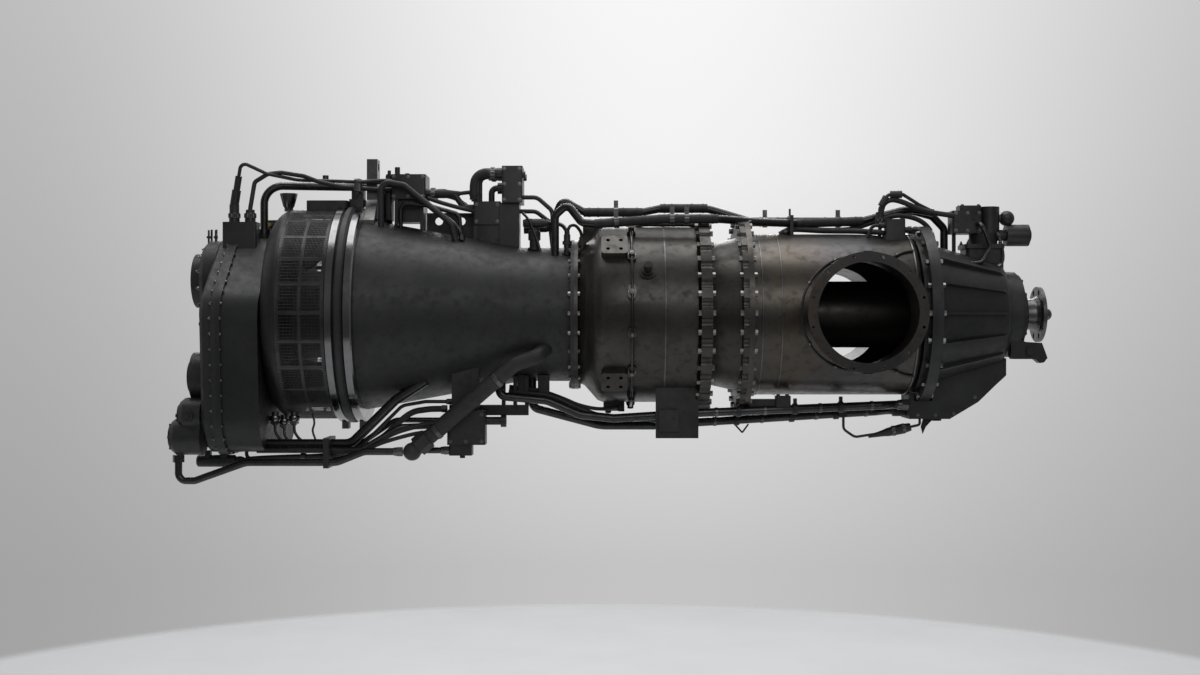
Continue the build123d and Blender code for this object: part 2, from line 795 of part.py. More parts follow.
with BuildPart() as gas_generator_case:
    turn(
        (gas_flange_front, turbine_blade_tip + 40),
        (gas_flange_front, big_flange_radius),
        (gas_case_front, big_flange_radius),
        (gas_case_front, gas_case_radius - 4),
        (gas_case_front - 6, gas_case_radius),
        (shoulder_front, gas_case_radius),
        (shoulder_front - 12, gas_case_radius - 5),
        (shoulder_back + neck_flange + 14, neck_radius + 10),
        (shoulder_back + neck_flange, neck_radius + 3),
        (shoulder_back + neck_flange, neck_flange_radius),
        (shoulder_back, neck_flange_radius),
        (shoulder_back, neck_radius - compressor_wall),
        (shoulder_back + 12, neck_radius),
        (shoulder_front - 8, gas_case_radius - gas_case_wall - 6),
        (shoulder_front + 4, gas_case_radius - gas_case_wall),
        (gas_case_front - 14, gas_case_radius - gas_case_wall),
        (gas_case_front, turbine_blade_tip + 40),
    )
    with BuildSketch(*[plane_out(mount_station, mount_face, angle) for angle in mount_angles]):
        RectangleRounded(58, 58, 8)
    extrude(amount=-24)
    with BuildSketch(*nozzle_ring(gas_case_radius + 4)):
        SlotOverall(34, 20, rotation=90)
    extrude(amount=-7)
    with BuildSketch(*[plane_out(mount_station, mount_face, angle) for angle in mount_angles]):
        with PolarLocations(mount_bolt_circle, 4, start_angle=45):
            Circle(mount_hole_radius)
    extrude(amount=-20, mode=Mode.SUBTRACT)
    for radius, depth, size in igniter_steps:
        with BuildSketch(*[plane_out(igniter_station, gas_case_radius + radius, a) for a in igniter_angles]):
            Circle(size)
        extrude(amount=-depth)
    with BuildSketch(*nozzle_ring(gas_case_radius + 10)):
        Circle(nozzle_stem_radius + seat_gap)
    extrude(amount=-30, mode=Mode.SUBTRACT)
    drill(
        shoulder_back + neck_flange, neck_flange, neck_flange_radius - 6, neck_bolt_count,
        neck_bolt_radius + bolt_gap,
    )
    drill(
        gas_flange_front, big_flange_thickness, big_flange_radius - 10, big_bolt_count,
        case_bolt_radius + bolt_gap,
    )
    with BuildSketch(plane_across(gas_flange_front)):
        with PolarLocations(big_flange_radius + 7, big_bolt_count, start_angle=180 / big_bolt_count):
            Circle(13)
    extrude(amount=-big_flange_thickness, mode=Mode.SUBTRACT)
gas_generator_case.part.label = "gas_generator_case"
export_step(gas_generator_case.part, "parts/gas_generator_case.step")

# Bolts of the two big flange pairs, the gearbox split and the compressor case's neck flange
with BuildPart() as flange_bolts:
    bolts_through(duct_flange_front, turbine_flange_back, big_flange_radius - 10, big_bolt_count)
    bolts_through(turbine_neck_back, gas_case_front, big_flange_radius - 10, big_bolt_count)
    bolts_through(
        gearbox_split + split_flange, gearbox_split - split_flange, split_flange_radius - 10, split_bolt_count
    )
    bolts_through(
        shoulder_back + neck_flange, shoulder_back - neck_flange, neck_flange_radius - 6, neck_bolt_count,
        neck_bolt_radius,
    )
flange_bolts.part.label = "flange_bolts"
export_step(flange_bolts.part, "parts/flange_bolts.step")

# Compressor turbine disc with its blades, on the gas generator shaft
disc_front = gas_case_front - 9
disc_width = 24.0
with BuildPart() as compressor_turbine:
    middle = disc_front - disc_width / 2
    turn(
        (disc_front, gas_shaft_radius),
        (disc_front, gas_shaft_radius + 22),
        (middle + 5, gas_shaft_radius + 34),
        (middle + 5, turbine_disc_rim - 14),
        (disc_front - 2, turbine_disc_rim - 5),
        (disc_front - 2, turbine_disc_rim),
        (disc_front - disc_width + 2, turbine_disc_rim),
        (disc_front - disc_width + 2, turbine_disc_rim - 5),
        (middle - 5, turbine_disc_rim - 14),
        (middle - 5, gas_shaft_radius + 34),
        (disc_front - disc_width, gas_shaft_radius + 22),
        (disc_front - disc_width, gas_shaft_radius),
    )
    blade_row(middle, turbine_disc_rim, turbine_blade_tip, turbine_blade_count, 20, 35, 4, 2.4)
compressor_turbine.part.label = "compressor_turbine"
export_step(compressor_turbine.part, "parts/compressor_turbine.step")

# Vane rings ahead of each turbine disc in the gas path, with the compressor turbine's shroud
vane_back = disc_front - disc_width - 26
power_vane_back = power_disc_fronts[-1] - 1.5 * power_disc_width - 11
with BuildPart() as turbine_vanes:
    for front in power_disc_fronts:
        vane_middle = front - 1.5 * power_disc_width - 2
        band(vane_middle + 9, 18, power_blade_tip - 4, power_blade_tip + tip_gap)
        band(vane_middle + 9, 18, power_disc_rim - 8, power_disc_rim - 2)
        blade_row(vane_middle, power_disc_rim - 2, power_blade_tip - 3, vane_count, 15, -30, 2.5, 2)
    shroud_radius = turbine_blade_tip + tip_gap
    band(power_vane_back, power_vane_back - vane_back, shroud_radius, power_blade_tip + tip_gap)
    band(vane_back + 22, 22, turbine_disc_rim - 8, turbine_disc_rim - 2)
    blade_row(vane_back + 11, turbine_disc_rim - 2, shroud_radius + 1, vane_count, 18, -35, 3, 2)
turbine_vanes.part.label = "turbine_vanes"
export_step(turbine_vanes.part, "parts/turbine_vanes.step")


def cone_radius(station):
    """The compressor case's outer radius at a station on its cone."""
    share = (neck_back - station) / cone_length
    return neck_radius + (cone_back_radius - neck_radius) * share


# Combustion liner: an annular can that opens inward to the vane ring
liner_front = gas_case_front - 77
liner_back = shoulder_front + 4
liner_outer = gas_case_radius - gas_case_wall - 10
liner_sheet = 2.0
dome_inner = liner_outer - 37
exit_outer = shroud_radius + liner_sheet - 0.2
exit_inner = turbine_disc_rim - 2
with BuildPart() as combustion_liner:
    turn(
        (liner_front, dome_inner),
        (liner_front, liner_outer),
        (liner_back + 18, liner_outer),
        (liner_back, liner_outer - 17),
        (liner_back, exit_inner + 14),
        (liner_back + 13, exit_inner),
        (vane_back, exit_inner),
        (vane_back, exit_inner + liner_sheet),
        (liner_back + 14, exit_inner + liner_sheet),
        (liner_back + liner_sheet, exit_inner + 15),
        (liner_back + liner_sheet, liner_outer - 18),
        (liner_back + 19, liner_outer - liner_sheet),
        (liner_front - liner_sheet, liner_outer - liner_sheet),
        (liner_front - liner_sheet, dome_inner + liner_sheet),
        (liner_back + 50, dome_inner + liner_sheet),
        (liner_back + 36, exit_outer),
        (liner_back + 37, exit_outer - liner_sheet),
        (vane_back, exit_outer - liner_sheet),
        (vane_back, exit_outer),
        (liner_back + 39, exit_outer),
        (liner_back + 51, dome_inner),
    )
    for station in (liner_front - 25, liner_front - 60):
        planes = [plane_out(station, liner_outer + 2, index * 360 / 14 + 12.9) for index in range(14)]
        with BuildSketch(*planes):
            Circle(6)
        extrude(amount=-6, mode=Mode.SUBTRACT)
    with BuildSketch(*nozzle_ring(liner_outer + 2)):
        Circle(nozzle_stem_radius + seat_gap)
    extrude(amount=-6, mode=Mode.SUBTRACT)
combustion_liner.part.label = "combustion_liner"
export_step(combustion_liner.part, "parts/combustion_liner.step")

# Fuel nozzle holders round the case, joined by short transfer tubes
manifold_radius = gas_case_radius + 9
with BuildPart() as fuel_manifold:
    for height, depth, size in ((7, 8, 7), (5, -34, nozzle_stem_radius)):
        with BuildSketch(*nozzle_ring(gas_case_radius + height)):
            Circle(size)
        extrude(amount=depth)
    with BuildSketch(*nozzle_ring(gas_case_radius + 4 + seat_gap)):
        SlotOverall(32, 18, rotation=90)
    extrude(amount=3)
    with BuildSketch(Plane(origin=(nozzle_station, 0, 0), x_dir=(1, 0, 0), z_dir=(0, -1, 0))):
        with Locations((0, manifold_radius)):
            Circle(3)
    revolve(axis=Axis.X)
fuel_manifold.part.label = "fuel_manifold"
export_step(fuel_manifold.part, "parts/fuel_manifold.step")

# Compressor rotor: a dished impeller with straight vanes, and a drum with four rows of blades
impeller_front = shoulder_back - 34
impeller_length = 80.0
bearing_seat = gas_shaft_radius + 24
eye_radius = compressor_blade_tip - 2
hub_back = impeller_front - impeller_length
first_row = hub_back - 22
drum_back = first_row - (compressor_stage_count - 1) * compressor_pitch - 20
with BuildPart() as compressor_rotor:
    with BuildSketch(Plane.XZ):
        with BuildLine():
            Polyline(
                (hub_back, compressor_drum_radius),
                (hub_back, gas_shaft_radius),
                (impeller_front, gas_shaft_radius),
                (impeller_front, gas_shaft_radius + 28),
                (impeller_front - 4, impeller_radius),
                (impeller_front - 9, impeller_radius),
            )
            ThreePointArc(
                (impeller_front - 9, impeller_radius),
                (impeller_front - 32, compressor_drum_radius + 11),
                (hub_back, compressor_drum_radius),
            )
        make_face()
    revolve(axis=Axis.X)
    vane_planes = [
        Plane(
            origin=(0, 0, 0), x_dir=(1, 0, 0),
            z_dir=(0, -cos(2 * pi * index / impeller_vane_count), sin(2 * pi * index / impeller_vane_count)),
        )
        for index in range(impeller_vane_count)
    ]
    with BuildSketch(*vane_planes):
        with BuildLine():
            Polyline(
                (impeller_front - 20, impeller_radius),
                (impeller_front - 6, impeller_radius),
                (impeller_front - 14, compressor_drum_radius + 6),
                (hub_back, compressor_drum_radius - 2),
                (hub_back, eye_radius),
                (impeller_front - 38, eye_radius),
            )
            ThreePointArc(
                (impeller_front - 38, eye_radius),
                (impeller_front - 26, eye_radius + 3),
                (impeller_front - 20, impeller_radius),
            )
        make_face()
    extrude(amount=1.1, both=True)
    turn(
        (hub_back, gas_shaft_radius),
        (hub_back, compressor_drum_radius),
        (drum_back, compressor_drum_radius),
        (drum_back, compressor_drum_radius - 6),
        (hub_back - 10, compressor_drum_radius - 6),
        (hub_back - 10, gas_shaft_radius),
    )
    for stage in range(compressor_stage_count):
        row = first_row - stage * compressor_pitch
        blade_row(row, compressor_drum_radius, compressor_blade_tip, compressor_blade_count, 20, 45, 2.5, 1.6)
compressor_rotor.part.label = "compressor_rotor"
export_step(compressor_rotor.part, "parts/compressor_rotor.step")

# Diffuser ring with its pipes that lead forward, and the shroud with three rows of stator vanes
neck_inner = neck_radius - compressor_wall
diffuser_back = impeller_front - 30
with BuildPart() as compressor_stators:
    turn(
        (impeller_front, impeller_radius + tip_gap),
        (impeller_front, neck_inner - 8),
        (diffuser_back + 8, neck_inner - 8),
        (diffuser_back + 8, neck_inner - seat_gap),
        (diffuser_back, neck_inner - seat_gap),
        (diffuser_back, impeller_radius + 4),
        (impeller_front - 42, eye_radius + 6),
        (hub_back, eye_radius + 5),
        (hub_back, eye_radius + tip_gap),
        (impeller_front - 38, eye_radius + tip_gap),
        (impeller_front - 25, eye_radius + tip_gap + 3),
        (impeller_front - 20, impeller_radius + tip_gap),
    )
    pipe_radius = impeller_radius + 7
    for index in range(16):
        angle = index * 360 / 16
        pipe(
            point_at(impeller_front - 1, pipe_radius, angle),
            point_at(impeller_front + 32, pipe_radius, angle),
            point_at(impeller_front + 58, pipe_radius + 18, angle),
            bend=20, radius=4.5,
        )
    turn(
        (impeller_front + side_gap, bearing_seat),
        (impeller_front + side_gap, impeller_radius + tip_gap),
        (impeller_front, impeller_radius + tip_gap),
        (impeller_front, impeller_radius + 4),
        (impeller_front + 8, impeller_radius + 4),
        (impeller_front + 8, bearing_seat + 10),
        (impeller_front + 26, bearing_seat + 10),
        (impeller_front + 26, bearing_seat),
    )
    shroud_inner = compressor_blade_tip + tip_gap
    band(hub_back, hub_back - drum_back, shroud_inner, shroud_inner + 4)
    carrier_station = drum_back + 8
    turn(
        (carrier_station, shroud_inner + 3),
        (carrier_station, cone_radius(carrier_station) - compressor_wall - seat_gap),
        (drum_back, cone_radius(carrier_station) - compressor_wall - seat_gap),
        (drum_back, shroud_inner + 3),
    )
    for stage in range(compressor_stage_count - 1):
        row = first_row - (stage + 0.5) * compressor_pitch
        vane_root = compressor_drum_radius + tip_gap + 1
        blade_row(row, vane_root, shroud_inner + 1, compressor_blade_count, 13, -40, 2, 1.5)
compressor_stators.part.label = "compressor_stators"
export_step(compressor_stators.part, "parts/compressor_stators.step")

# Compressor case: the neck and the long cone
with BuildPart() as compressor_case:
    turn(
        (shoulder_back, neck_inner),
        (shoulder_back, neck_flange_radius),
        (shoulder_back - neck_flange, neck_flange_radius),
        (shoulder_back - neck_flange, neck_radius),
        (neck_back, neck_radius),
        (cone_back, cone_back_radius),
        (cone_back, cone_back_radius - compressor_wall),
        (neck_back, neck_inner),
    )
    drill(shoulder_back, neck_flange, neck_flange_radius - 6, neck_bolt_count, neck_bolt_radius + bolt_gap)
compressor_case.part.label = "compressor_case"
export_step(compressor_case.part, "parts/compressor_case.step")

# Gas generator shaft with the accessory pinion at its back end
gear_front = agb_front - 50
pinion_phase = 90.0
with BuildPart() as gas_generator_shaft:
    turn(
        (disc_front + 6, 9),
        (disc_front + 6, gas_shaft_radius),
        (agb_front + 40, gas_shaft_radius),
        (agb_front + 30, 14),
        (gear_front, 14),
        (gear_front, 9),
    )
    with BuildSketch(plane_across(gear_front)):
        external_gear(pinion_teeth, accessory_module, pinion_phase, 9)
    extrude(amount=-accessory_gear_width)
gas_generator_shaft.part.label = "gas_generator_shaft"
export_step(gas_generator_shaft.part, "parts/gas_generator_shaft.step")

# Three rings behind the cone: polished, black seal, polished
ring_inner = cone_back_radius - 6
with BuildPart() as inlet_clamp_rings:
    for front, length in ((cone_back, front_ring_length), (seal_ring_back, back_ring_length)):
        turn(
            (front, ring_inner),
            (front, ring_radius - 3),
            (front - 3, ring_radius),
            (front - length + 3, ring_radius),
            (front - length, ring_radius - 3),
            (front - length, ring_inner),
        )
        bolt_height = -ring_radius - 9
        for side in (-1, 1):
            with BuildSketch(Plane.XZ.offset(side * 9 - 3)):
                with Locations((front - length / 2, bolt_height + 3)):
                    Rectangle(length - 4, 20)
            extrude(amount=6)
        with BuildSketch(Plane.XZ.offset(-20)):
            with Locations((front - length / 2, bolt_height)):
                Circle(3)
        extrude(amount=40)
        with BuildSketch(Plane.XZ.offset(-18)):
            with Locations((front - length / 2, bolt_height)):
                RegularPolygon(6, 6)
        extrude(amount=6)
inlet_clamp_rings.part.label = "inlet_clamp_rings"
export_step(inlet_clamp_rings.part, "parts/inlet_clamp_rings.step")

with BuildPart() as inlet_seal_ring:
    turn(
        (front_ring_back, ring_inner),
        (front_ring_back, ring_radius - 4),
        (front_ring_back - 5, ring_radius + 2),
        (seal_ring_back + 5, ring_radius + 2),
        (seal_ring_back, ring_radius - 4),
        (seal_ring_back, ring_inner),
    )
inlet_seal_ring.part.label = "inlet_seal_ring"
export_step(inlet_seal_ring.part, "parts/inlet_seal_ring.step")

# Inlet case: front ring, radial struts, rear bulkhead and the hub that carries the rear bearing
bulkhead = 10.0
frame_inner = screen_radius - 6
with BuildPart() as inlet_case:
    band(back_ring_back, 8, ring_inner, frame_inner - seat_gap)
    turn(
        (drum_back - 4, compressor_drum_radius),
        (drum_back - 120, compressor_drum_radius + 16),
        (screen_back + bulkhead, hub_radius),
        (screen_back + bulkhead, frame_inner - seat_gap),
        (screen_back, frame_inner - seat_gap),
        (screen_back, bearing_seat),
        (screen_back + bulkhead + 14, bearing_seat),
        (screen_back + bulkhead + 14, hub_radius - 10),
        (drum_back - 120, compressor_drum_radius + 11),
        (drum_back - 4, compressor_drum_radius - 5),
    )
    strut_planes = [
        Plane(
            origin=(0, 0, 0), x_dir=(1, 0, 0),
            z_dir=(0, -cos(2 * pi * (index + 0.5) / strut_count), sin(2 * pi * (index + 0.5) / strut_count)),
        )
        for index in range(strut_count)
    ]
    with BuildSketch(*strut_planes):
        with BuildLine():
            Polyline(
                (back_ring_back - 4, ring_inner + 2),
                (back_ring_back - 4, frame_inner - 3),
                (screen_back + 4, frame_inner - 3),
                (screen_back + 4, hub_radius + 20),
                (screen_back + bulkhead + 12, hub_radius + 28),
                close=True,
            )
        make_face()
    extrude(amount=5, both=True)
inlet_case.part.label = "inlet_case"
export_step(inlet_case.part, "parts/inlet_case.step")

# Bearing races that stay in the casings: propeller shaft, power turbine shaft and gas generator shaft
with BuildPart() as bearing_races:
    band(thrust_front, thrust_bearing_width, bearing_outer_radius - race_depth, bearing_outer_radius)
    band(roller_front, roller_bearing_width, bearing_outer_radius - race_depth, bearing_outer_radius)
    for front, seat in ((diaphragm_front, power_shaft_radius), (rear_bearing_front, power_shaft_radius + 7)):
        band(front, 14, seat + running_gap, power_shaft_radius + 17)
    for front in (screen_back + bulkhead + 14, impeller_front + 24):
        band(front, 18, gas_shaft_radius + running_gap, bearing_seat)
bearing_races.part.label = "bearing_races"
export_step(bearing_races.part, "parts/bearing_races.step")

# Inlet screen frame: end hoops, a middle hoop and axial bars
frame_outer = screen_radius - 1.5
with BuildPart() as inlet_screen_frame:
    band(back_ring_back, 8, frame_inner, frame_outer)
    band(screen_back + 8, 8, frame_inner, frame_outer)
    band((back_ring_back + screen_back) / 2 + 3, 6, frame_inner, frame_outer)
    with BuildSketch(plane_across(back_ring_back - 4)):
        with PolarLocations((frame_inner + frame_outer) / 2, screen_bar_count):
            Rectangle(frame_outer - frame_inner - 0.6, screen_bar)
    extrude(amount=-(screen_length - 8))
inlet_screen_frame.part.label = "inlet_screen_frame"
export_step(inlet_screen_frame.part, "parts/inlet_screen_frame.step")

# Inlet screen: the fine wire cloth stretched over the frame, as a thin drum
with BuildPart() as inlet_screen:
    band(back_ring_back, screen_length, frame_outer, screen_radius)
inlet_screen.part.label = "inlet_screen"
export_step(inlet_screen.part, "parts/inlet_screen.step")

# Oil tank: the hollow shoulder behind the inlet
with BuildPart() as oil_tank:
    with BuildSketch(Plane.XZ):
        with BuildLine():
            Polyline(
                (tank_back, hub_radius),
                (tank_back + 4, hub_radius),
                (tank_back + 4, screen_radius - 52),
            )
            ThreePointArc(
                (tank_back + 4, screen_radius - 52),
                (tank_back + 17, screen_radius - 18),
                (screen_back - 5, screen_radius - 5),
            )
            Polyline(
                (screen_back - 5, screen_radius - 5),
                (screen_back - 5, hub_radius),
                (screen_back, hub_radius),
                (screen_back, screen_radius),
                (screen_back - 6, screen_radius),
            )
            ThreePointArc(
                (screen_back - 6, screen_radius),
                (tank_back + 13, screen_radius - 15),
                (tank_back, screen_radius - 50),
            )
            Line((tank_back, screen_radius - 50), (tank_back, hub_radius))
        make_face()
    revolve(axis=Axis.X)
oil_tank.part.label = "oil_tank"
export_step(oil_tank.part, "parts/oil_tank.step")

# Accessory gearbox sizes
agb_rim = 6.0
agb_flange = 10.0
journal_radius = 14.0
starter_pitch = accessory_module * starter_gear_teeth / 2
idler_pitch = accessory_module * idler_teeth / 2
pump_pitch = accessory_module * pump_gear_teeth / 2
pinion_pitch = accessory_module * pinion_teeth / 2
pump_angle = radians(pump_direction)
starter_centre = (0, pinion_pitch + starter_pitch)
idler_arm = pinion_pitch + idler_pitch
pump_arm = idler_arm + idler_pitch + pump_pitch
idler_centre = (idler_arm * cos(pump_angle), idler_arm * sin(pump_angle))
pump_centre = (pump_arm * cos(pump_angle), pump_arm * sin(pump_angle))
accessory_centres = (starter_centre, idler_centre, pump_centre)
shaft_front = agb_front - agb_wall - 1
filler_centre = (agb_front - 33, 45)
breather_station = agb_front - 33
filler_top = starter_centre[1] + 128


def lobe_hull(station, grow):
    """The accessory gearbox's outline across the engine: the hull round its lobes."""
    with BuildSketch(plane_across(station)) as section:
        with BuildLine() as circles:
            for y, z, radius in agb_lobes:
                CenterArc((y, z), radius + grow, 0, 360)
        make_hull(circles.edges())
    return section.sketch


# Accessory gearbox housing: front wall, rim, flange, journal bosses, breather and filler bosses
with BuildPart() as accessory_gearbox_housing:
    extrude(lobe_hull(agb_front, -agb_rim), amount=-agb_housing_length)
    extrude(lobe_hull(agb_split + agb_flange, 0), amount=-agb_flange)
    with BuildSketch(Plane.XY.offset(starter_centre[1] + 60)):
        with Locations((breather_station, 0)):
            Circle(16)
    extrude(amount=46)
    with BuildSketch(Plane.XY.offset(starter_centre[1] + 60)):
        with Locations(filler_centre):
            Circle(24)
    extrude(amount=42)
    with BuildSketch(Plane.XY.offset(starter_centre[1] + 60)):
        with Locations(filler_centre):
            Circle(19)
    extrude(amount=filler_top - starter_centre[1] - 60)
    extrude(
        lobe_hull(agb_front - agb_wall, -agb_rim - agb_wall),
        amount=-(agb_housing_length - agb_wall), mode=Mode.SUBTRACT,
    )
    for centre in accessory_centres:
        disc(agb_front - agb_wall, 16, journal_radius + 9, centre)
        disc(agb_front - agb_wall, 16, journal_radius + running_gap, centre, mode=Mode.SUBTRACT)
    disc(agb_front, agb_wall, gas_shaft_radius + 3, mode=Mode.SUBTRACT)
    with BuildSketch(Plane.XY.offset(starter_centre[1] + 40)):
        with Locations(filler_centre):
            Circle(14.5)
    extrude(amount=filler_top - starter_centre[1] - 40, mode=Mode.SUBTRACT)
accessory_gearbox_housing.part.label = "accessory_gearbox_housing"
export_step(accessory_gearbox_housing.part, "parts/accessory_gearbox_housing.step")

# Accessory gearbox rear cover: a dished cover with a raised starter boss, pads and bores for the drives
starter_boss_radius = 92.0
starter_boss_depth = 36.0
starter_pad_radius = 62.0
starter_pad_depth = 24.0
starter_recess_depth = 8.0
starter_bolt_circle = 51.0
starter_bolt_count = 8
starter_hole_radius = 4.2
starter_hole_depth = 14.0
starter_boss_back = agb_back - starter_boss_depth
starter_face = starter_boss_back - starter_pad_depth
spare_pads = ((126, -14), (-132, -2), (112, -222))
spare_pad_radius = 42.0
bearing_boss_length = 14.0
bearing_boss_radius = journal_radius + 9
boss_backs = (starter_boss_back, agb_back, agb_back)
with BuildPart() as accessory_gearbox_cover:
    extrude(lobe_hull(agb_split, 0), amount=-agb_flange)
    extrude(lobe_hull(agb_split, -agb_rim), amount=-agb_cover_length)
    back_edges = accessory_gearbox_cover.faces().sort_by(Axis.X)[0].edges()
    chamfer(back_edges, length=7)
    lathe(
        starter_centre,
        (agb_back + agb_wall, 0),
        (agb_back + agb_wall, starter_boss_radius),
        (starter_boss_back + 10, starter_boss_radius),
        (starter_boss_back, starter_boss_radius - 10),
        (starter_boss_back, 0),
    )
    extrude(
        lobe_hull(agb_split, -agb_rim - agb_wall), amount=-(agb_cover_length - agb_wall), mode=Mode.SUBTRACT
    )
    disc(
        agb_back + agb_wall, starter_boss_depth, starter_boss_radius - agb_wall, starter_centre,
        mode=Mode.SUBTRACT,
    )
    for centre, back in zip(accessory_centres, boss_backs):
        disc(back + agb_wall + bearing_boss_length, bearing_boss_length, bearing_boss_radius, centre)
    disc(starter_boss_back, starter_pad_depth, starter_pad_radius, starter_centre)
    disc(
        starter_face + starter_recess_depth, starter_recess_depth, starter_bolt_circle - 12, starter_centre,
        mode=Mode.SUBTRACT,
    )
    disc(agb_back, 6, 60, pump_centre)
    disc(agb_back, 6, journal_radius + 20, pump_centre, mode=Mode.SUBTRACT)
    for centre in spare_pads:
        disc(agb_back, 7, spare_pad_radius, centre)
        disc(agb_back - 7, 5, spare_pad_radius - 5, centre)
        drill(agb_back - 12, 4, spare_pad_radius - 12, 4, 4, start=45, centre=centre, mode=Mode.ADD)
        disc(agb_back - 12, 6, 10, centre)
    for centre, back in zip(accessory_centres, boss_backs):
        bore = journal_radius + running_gap
        depth = bearing_boss_length + agb_wall + starter_pad_depth
        disc(back + agb_wall + bearing_boss_length, depth, bore, centre, mode=Mode.SUBTRACT)
    drill(
        starter_face, -starter_hole_depth, starter_bolt_circle, starter_bolt_count, starter_hole_radius,
        start=22.5, centre=starter_centre,
    )
    for station in (starter_boss_back + 8, starter_boss_back + 19):
        rod_top = starter_centre[1] + starter_boss_radius + 26
        with BuildSketch(Plane.XY.offset(rod_top)):
            with Locations((station, 0)):
                Circle(2.5)
        extrude(amount=-30)
accessory_gearbox_cover.part.label = "accessory_gearbox_cover"
export_step(accessory_gearbox_cover.part, "parts/accessory_gearbox_cover.step")

# Accessory drive gears with their shafts
starter_phase = driven_phase(pinion_phase, pinion_teeth, starter_gear_teeth, 90)
idler_phase = driven_phase(pinion_phase, pinion_teeth, idler_teeth, pump_direction)
pump_phase = driven_phase(idler_phase, idler_teeth, pump_gear_teeth, pump_direction)


def drive_gear(teeth, phase, centre, shaft_back, socket):
    """An accessory gear on its shaft, with a splined socket at the back when one is asked for."""
    with BuildSketch(plane_across(gear_front, centre)) as toothed:
        external_gear(teeth, accessory_module, phase)
    extrude(toothed.sketch, amount=-accessory_gear_width)
    web_outer = accessory_module * teeth / 2 - 7
    web_inner = journal_radius + 7
    for front, depth in ((gear_front, 6), (gear_front - accessory_gear_width + 6, 6)):
        with BuildSketch(plane_across(front, centre)) as web:
            Circle(web_outer)
            Circle(web_inner, mode=Mode.SUBTRACT)
        extrude(web.sketch, amount=-depth, mode=Mode.SUBTRACT)
    disc(shaft_front, shaft_front - shaft_back, journal_radius, centre)
    if socket:
        disc(shaft_back + 22, 22, socket, centre, mode=Mode.SUBTRACT)


with BuildPart() as starter_drive_gear:
    drive_gear(starter_gear_teeth, starter_phase, starter_centre, starter_face + 4, 8)
starter_drive_gear.part.label = "starter_drive_gear"
export_step(starter_drive_gear.part, "parts/starter_drive_gear.step")

with BuildPart() as idler_gear:
    drive_gear(idler_teeth, idler_phase, idler_centre, agb_back + 2, 0)
idler_gear.part.label = "idler_gear"
export_step(idler_gear.part, "parts/idler_gear.step")

with BuildPart() as fuel_pump_gear:
    drive_gear(pump_gear_teeth, pump_phase, pump_centre, agb_back - 3, 0)
fuel_pump_gear.part.label = "fuel_pump_gear"
export_step(fuel_pump_gear.part, "parts/fuel_pump_gear.step")


def clear_of_engine():
    """Cut away the engine's own outer shape, so that a foot or a bracket sits on it."""
    gap = seat_gap
    turn(
        (cover_front + gap, 0),
        (cover_front + gap, shaft_radius + 8),
        (cover_front - 8, 68),
        (cover_back + 12 + gap, cover_rim_radius + 9),
        (cover_back + gap, cover_rim_radius + 9),
        (cover_back + gap, collar_radius + gap),
        (collar_back + gap, collar_radius + gap),
        (collar_back - 5, nose_front_radius - 6 + 2 * gap),
        (collar_back - 12, nose_front_radius + gap),
        (nose_back, nose_back_radius + gap),
        (gearbox_split + split_flange + 6, gearbox_back_radius - 4 + gap),
        (gearbox_split + split_flange + 8, split_flange_radius + gap),
        (gearbox_split - split_flange - 8, split_flange_radius + gap),
        (gearbox_split - split_flange - 9, duct_radius + gap),
        (duct_flange_front + 8, duct_radius + gap),
        (duct_flange_front + 7, big_flange_radius + gap),
        (turbine_flange_back - 8, big_flange_radius + gap),
        (turbine_flange_back - 9, turbine_neck_front_radius + gap),
        (turbine_neck_back + 8, turbine_neck_back_radius + 2),
        (turbine_neck_back + 7, big_flange_radius + gap),
        (gas_case_front - 8, big_flange_radius + gap),
        (gas_case_front - 9, gas_case_radius + gap),
        (shoulder_front, gas_case_radius + gap),
        (shoulder_front - 12, gas_case_radius - 5 + 2 * gap),
        (shoulder_back + neck_flange + 7, neck_radius + 11),
        (shoulder_back + neck_flange + 6, neck_flange_radius + gap),
        (shoulder_back - neck_flange - 7, neck_flange_radius + gap),
        (shoulder_back - neck_flange - 7, neck_radius + gap),
        (neck_back, neck_radius + gap),
        (cone_back + gap, cone_back_radius + gap),
        (cone_back + gap, ring_radius + gap),
        (front_ring_back, ring_radius + gap),
        (front_ring_back, ring_radius + 2 + gap),
        (seal_ring_back, ring_radius + 2 + gap),
        (seal_ring_back, ring_radius + gap),
        (back_ring_back - gap, ring_radius + gap),
        (back_ring_back - gap, screen_radius + gap),
        (screen_back - 6, screen_radius + gap),
        (tank_back + 13, screen_radius - 15 + 3 * gap),
        (tank_back, screen_radius - 50 + 2 * gap),
        (tank_back, 0),
        mode=Mode.SUBTRACT,
    )


def clear_of_accessory_gearbox():
    """Cut away the accessory gearbox's own outline."""
    gap = seat_gap
    length = agb_housing_length + agb_cover_length + gap
    extrude(lobe_hull(agb_front + gap, gap - agb_rim), amount=-length - gap, mode=Mode.SUBTRACT)
    extrude(lobe_hull(agb_split + agb_flange + gap, gap), amount=-2 * (agb_flange + gap), mode=Mode.SUBTRACT)


def block(low, high, mode=Mode.ADD, rounding=0):
    """A box between two corners, with its upright edges rounded when asked."""
    size = [high[axis] - low[axis] for axis in range(3)]
    with BuildSketch(Plane(origin=((low[0] + high[0]) / 2, (low[1] + high[1]) / 2, low[2]))) as base:
        if rounding:
            RectangleRounded(size[0], size[1], rounding)
        else:
            Rectangle(size[0], size[1])
    extrude(base.sketch, amount=size[2], mode=mode)


def rod(start, end, radius, mode=Mode.ADD):
    """A straight round bar between two points."""
    direction = Vector(*end) - Vector(*start)
    with BuildSketch(Plane(origin=start, z_dir=direction)) as section:
        Circle(radius)
    extrude(section.sketch, amount=direction.length, mode=mode)


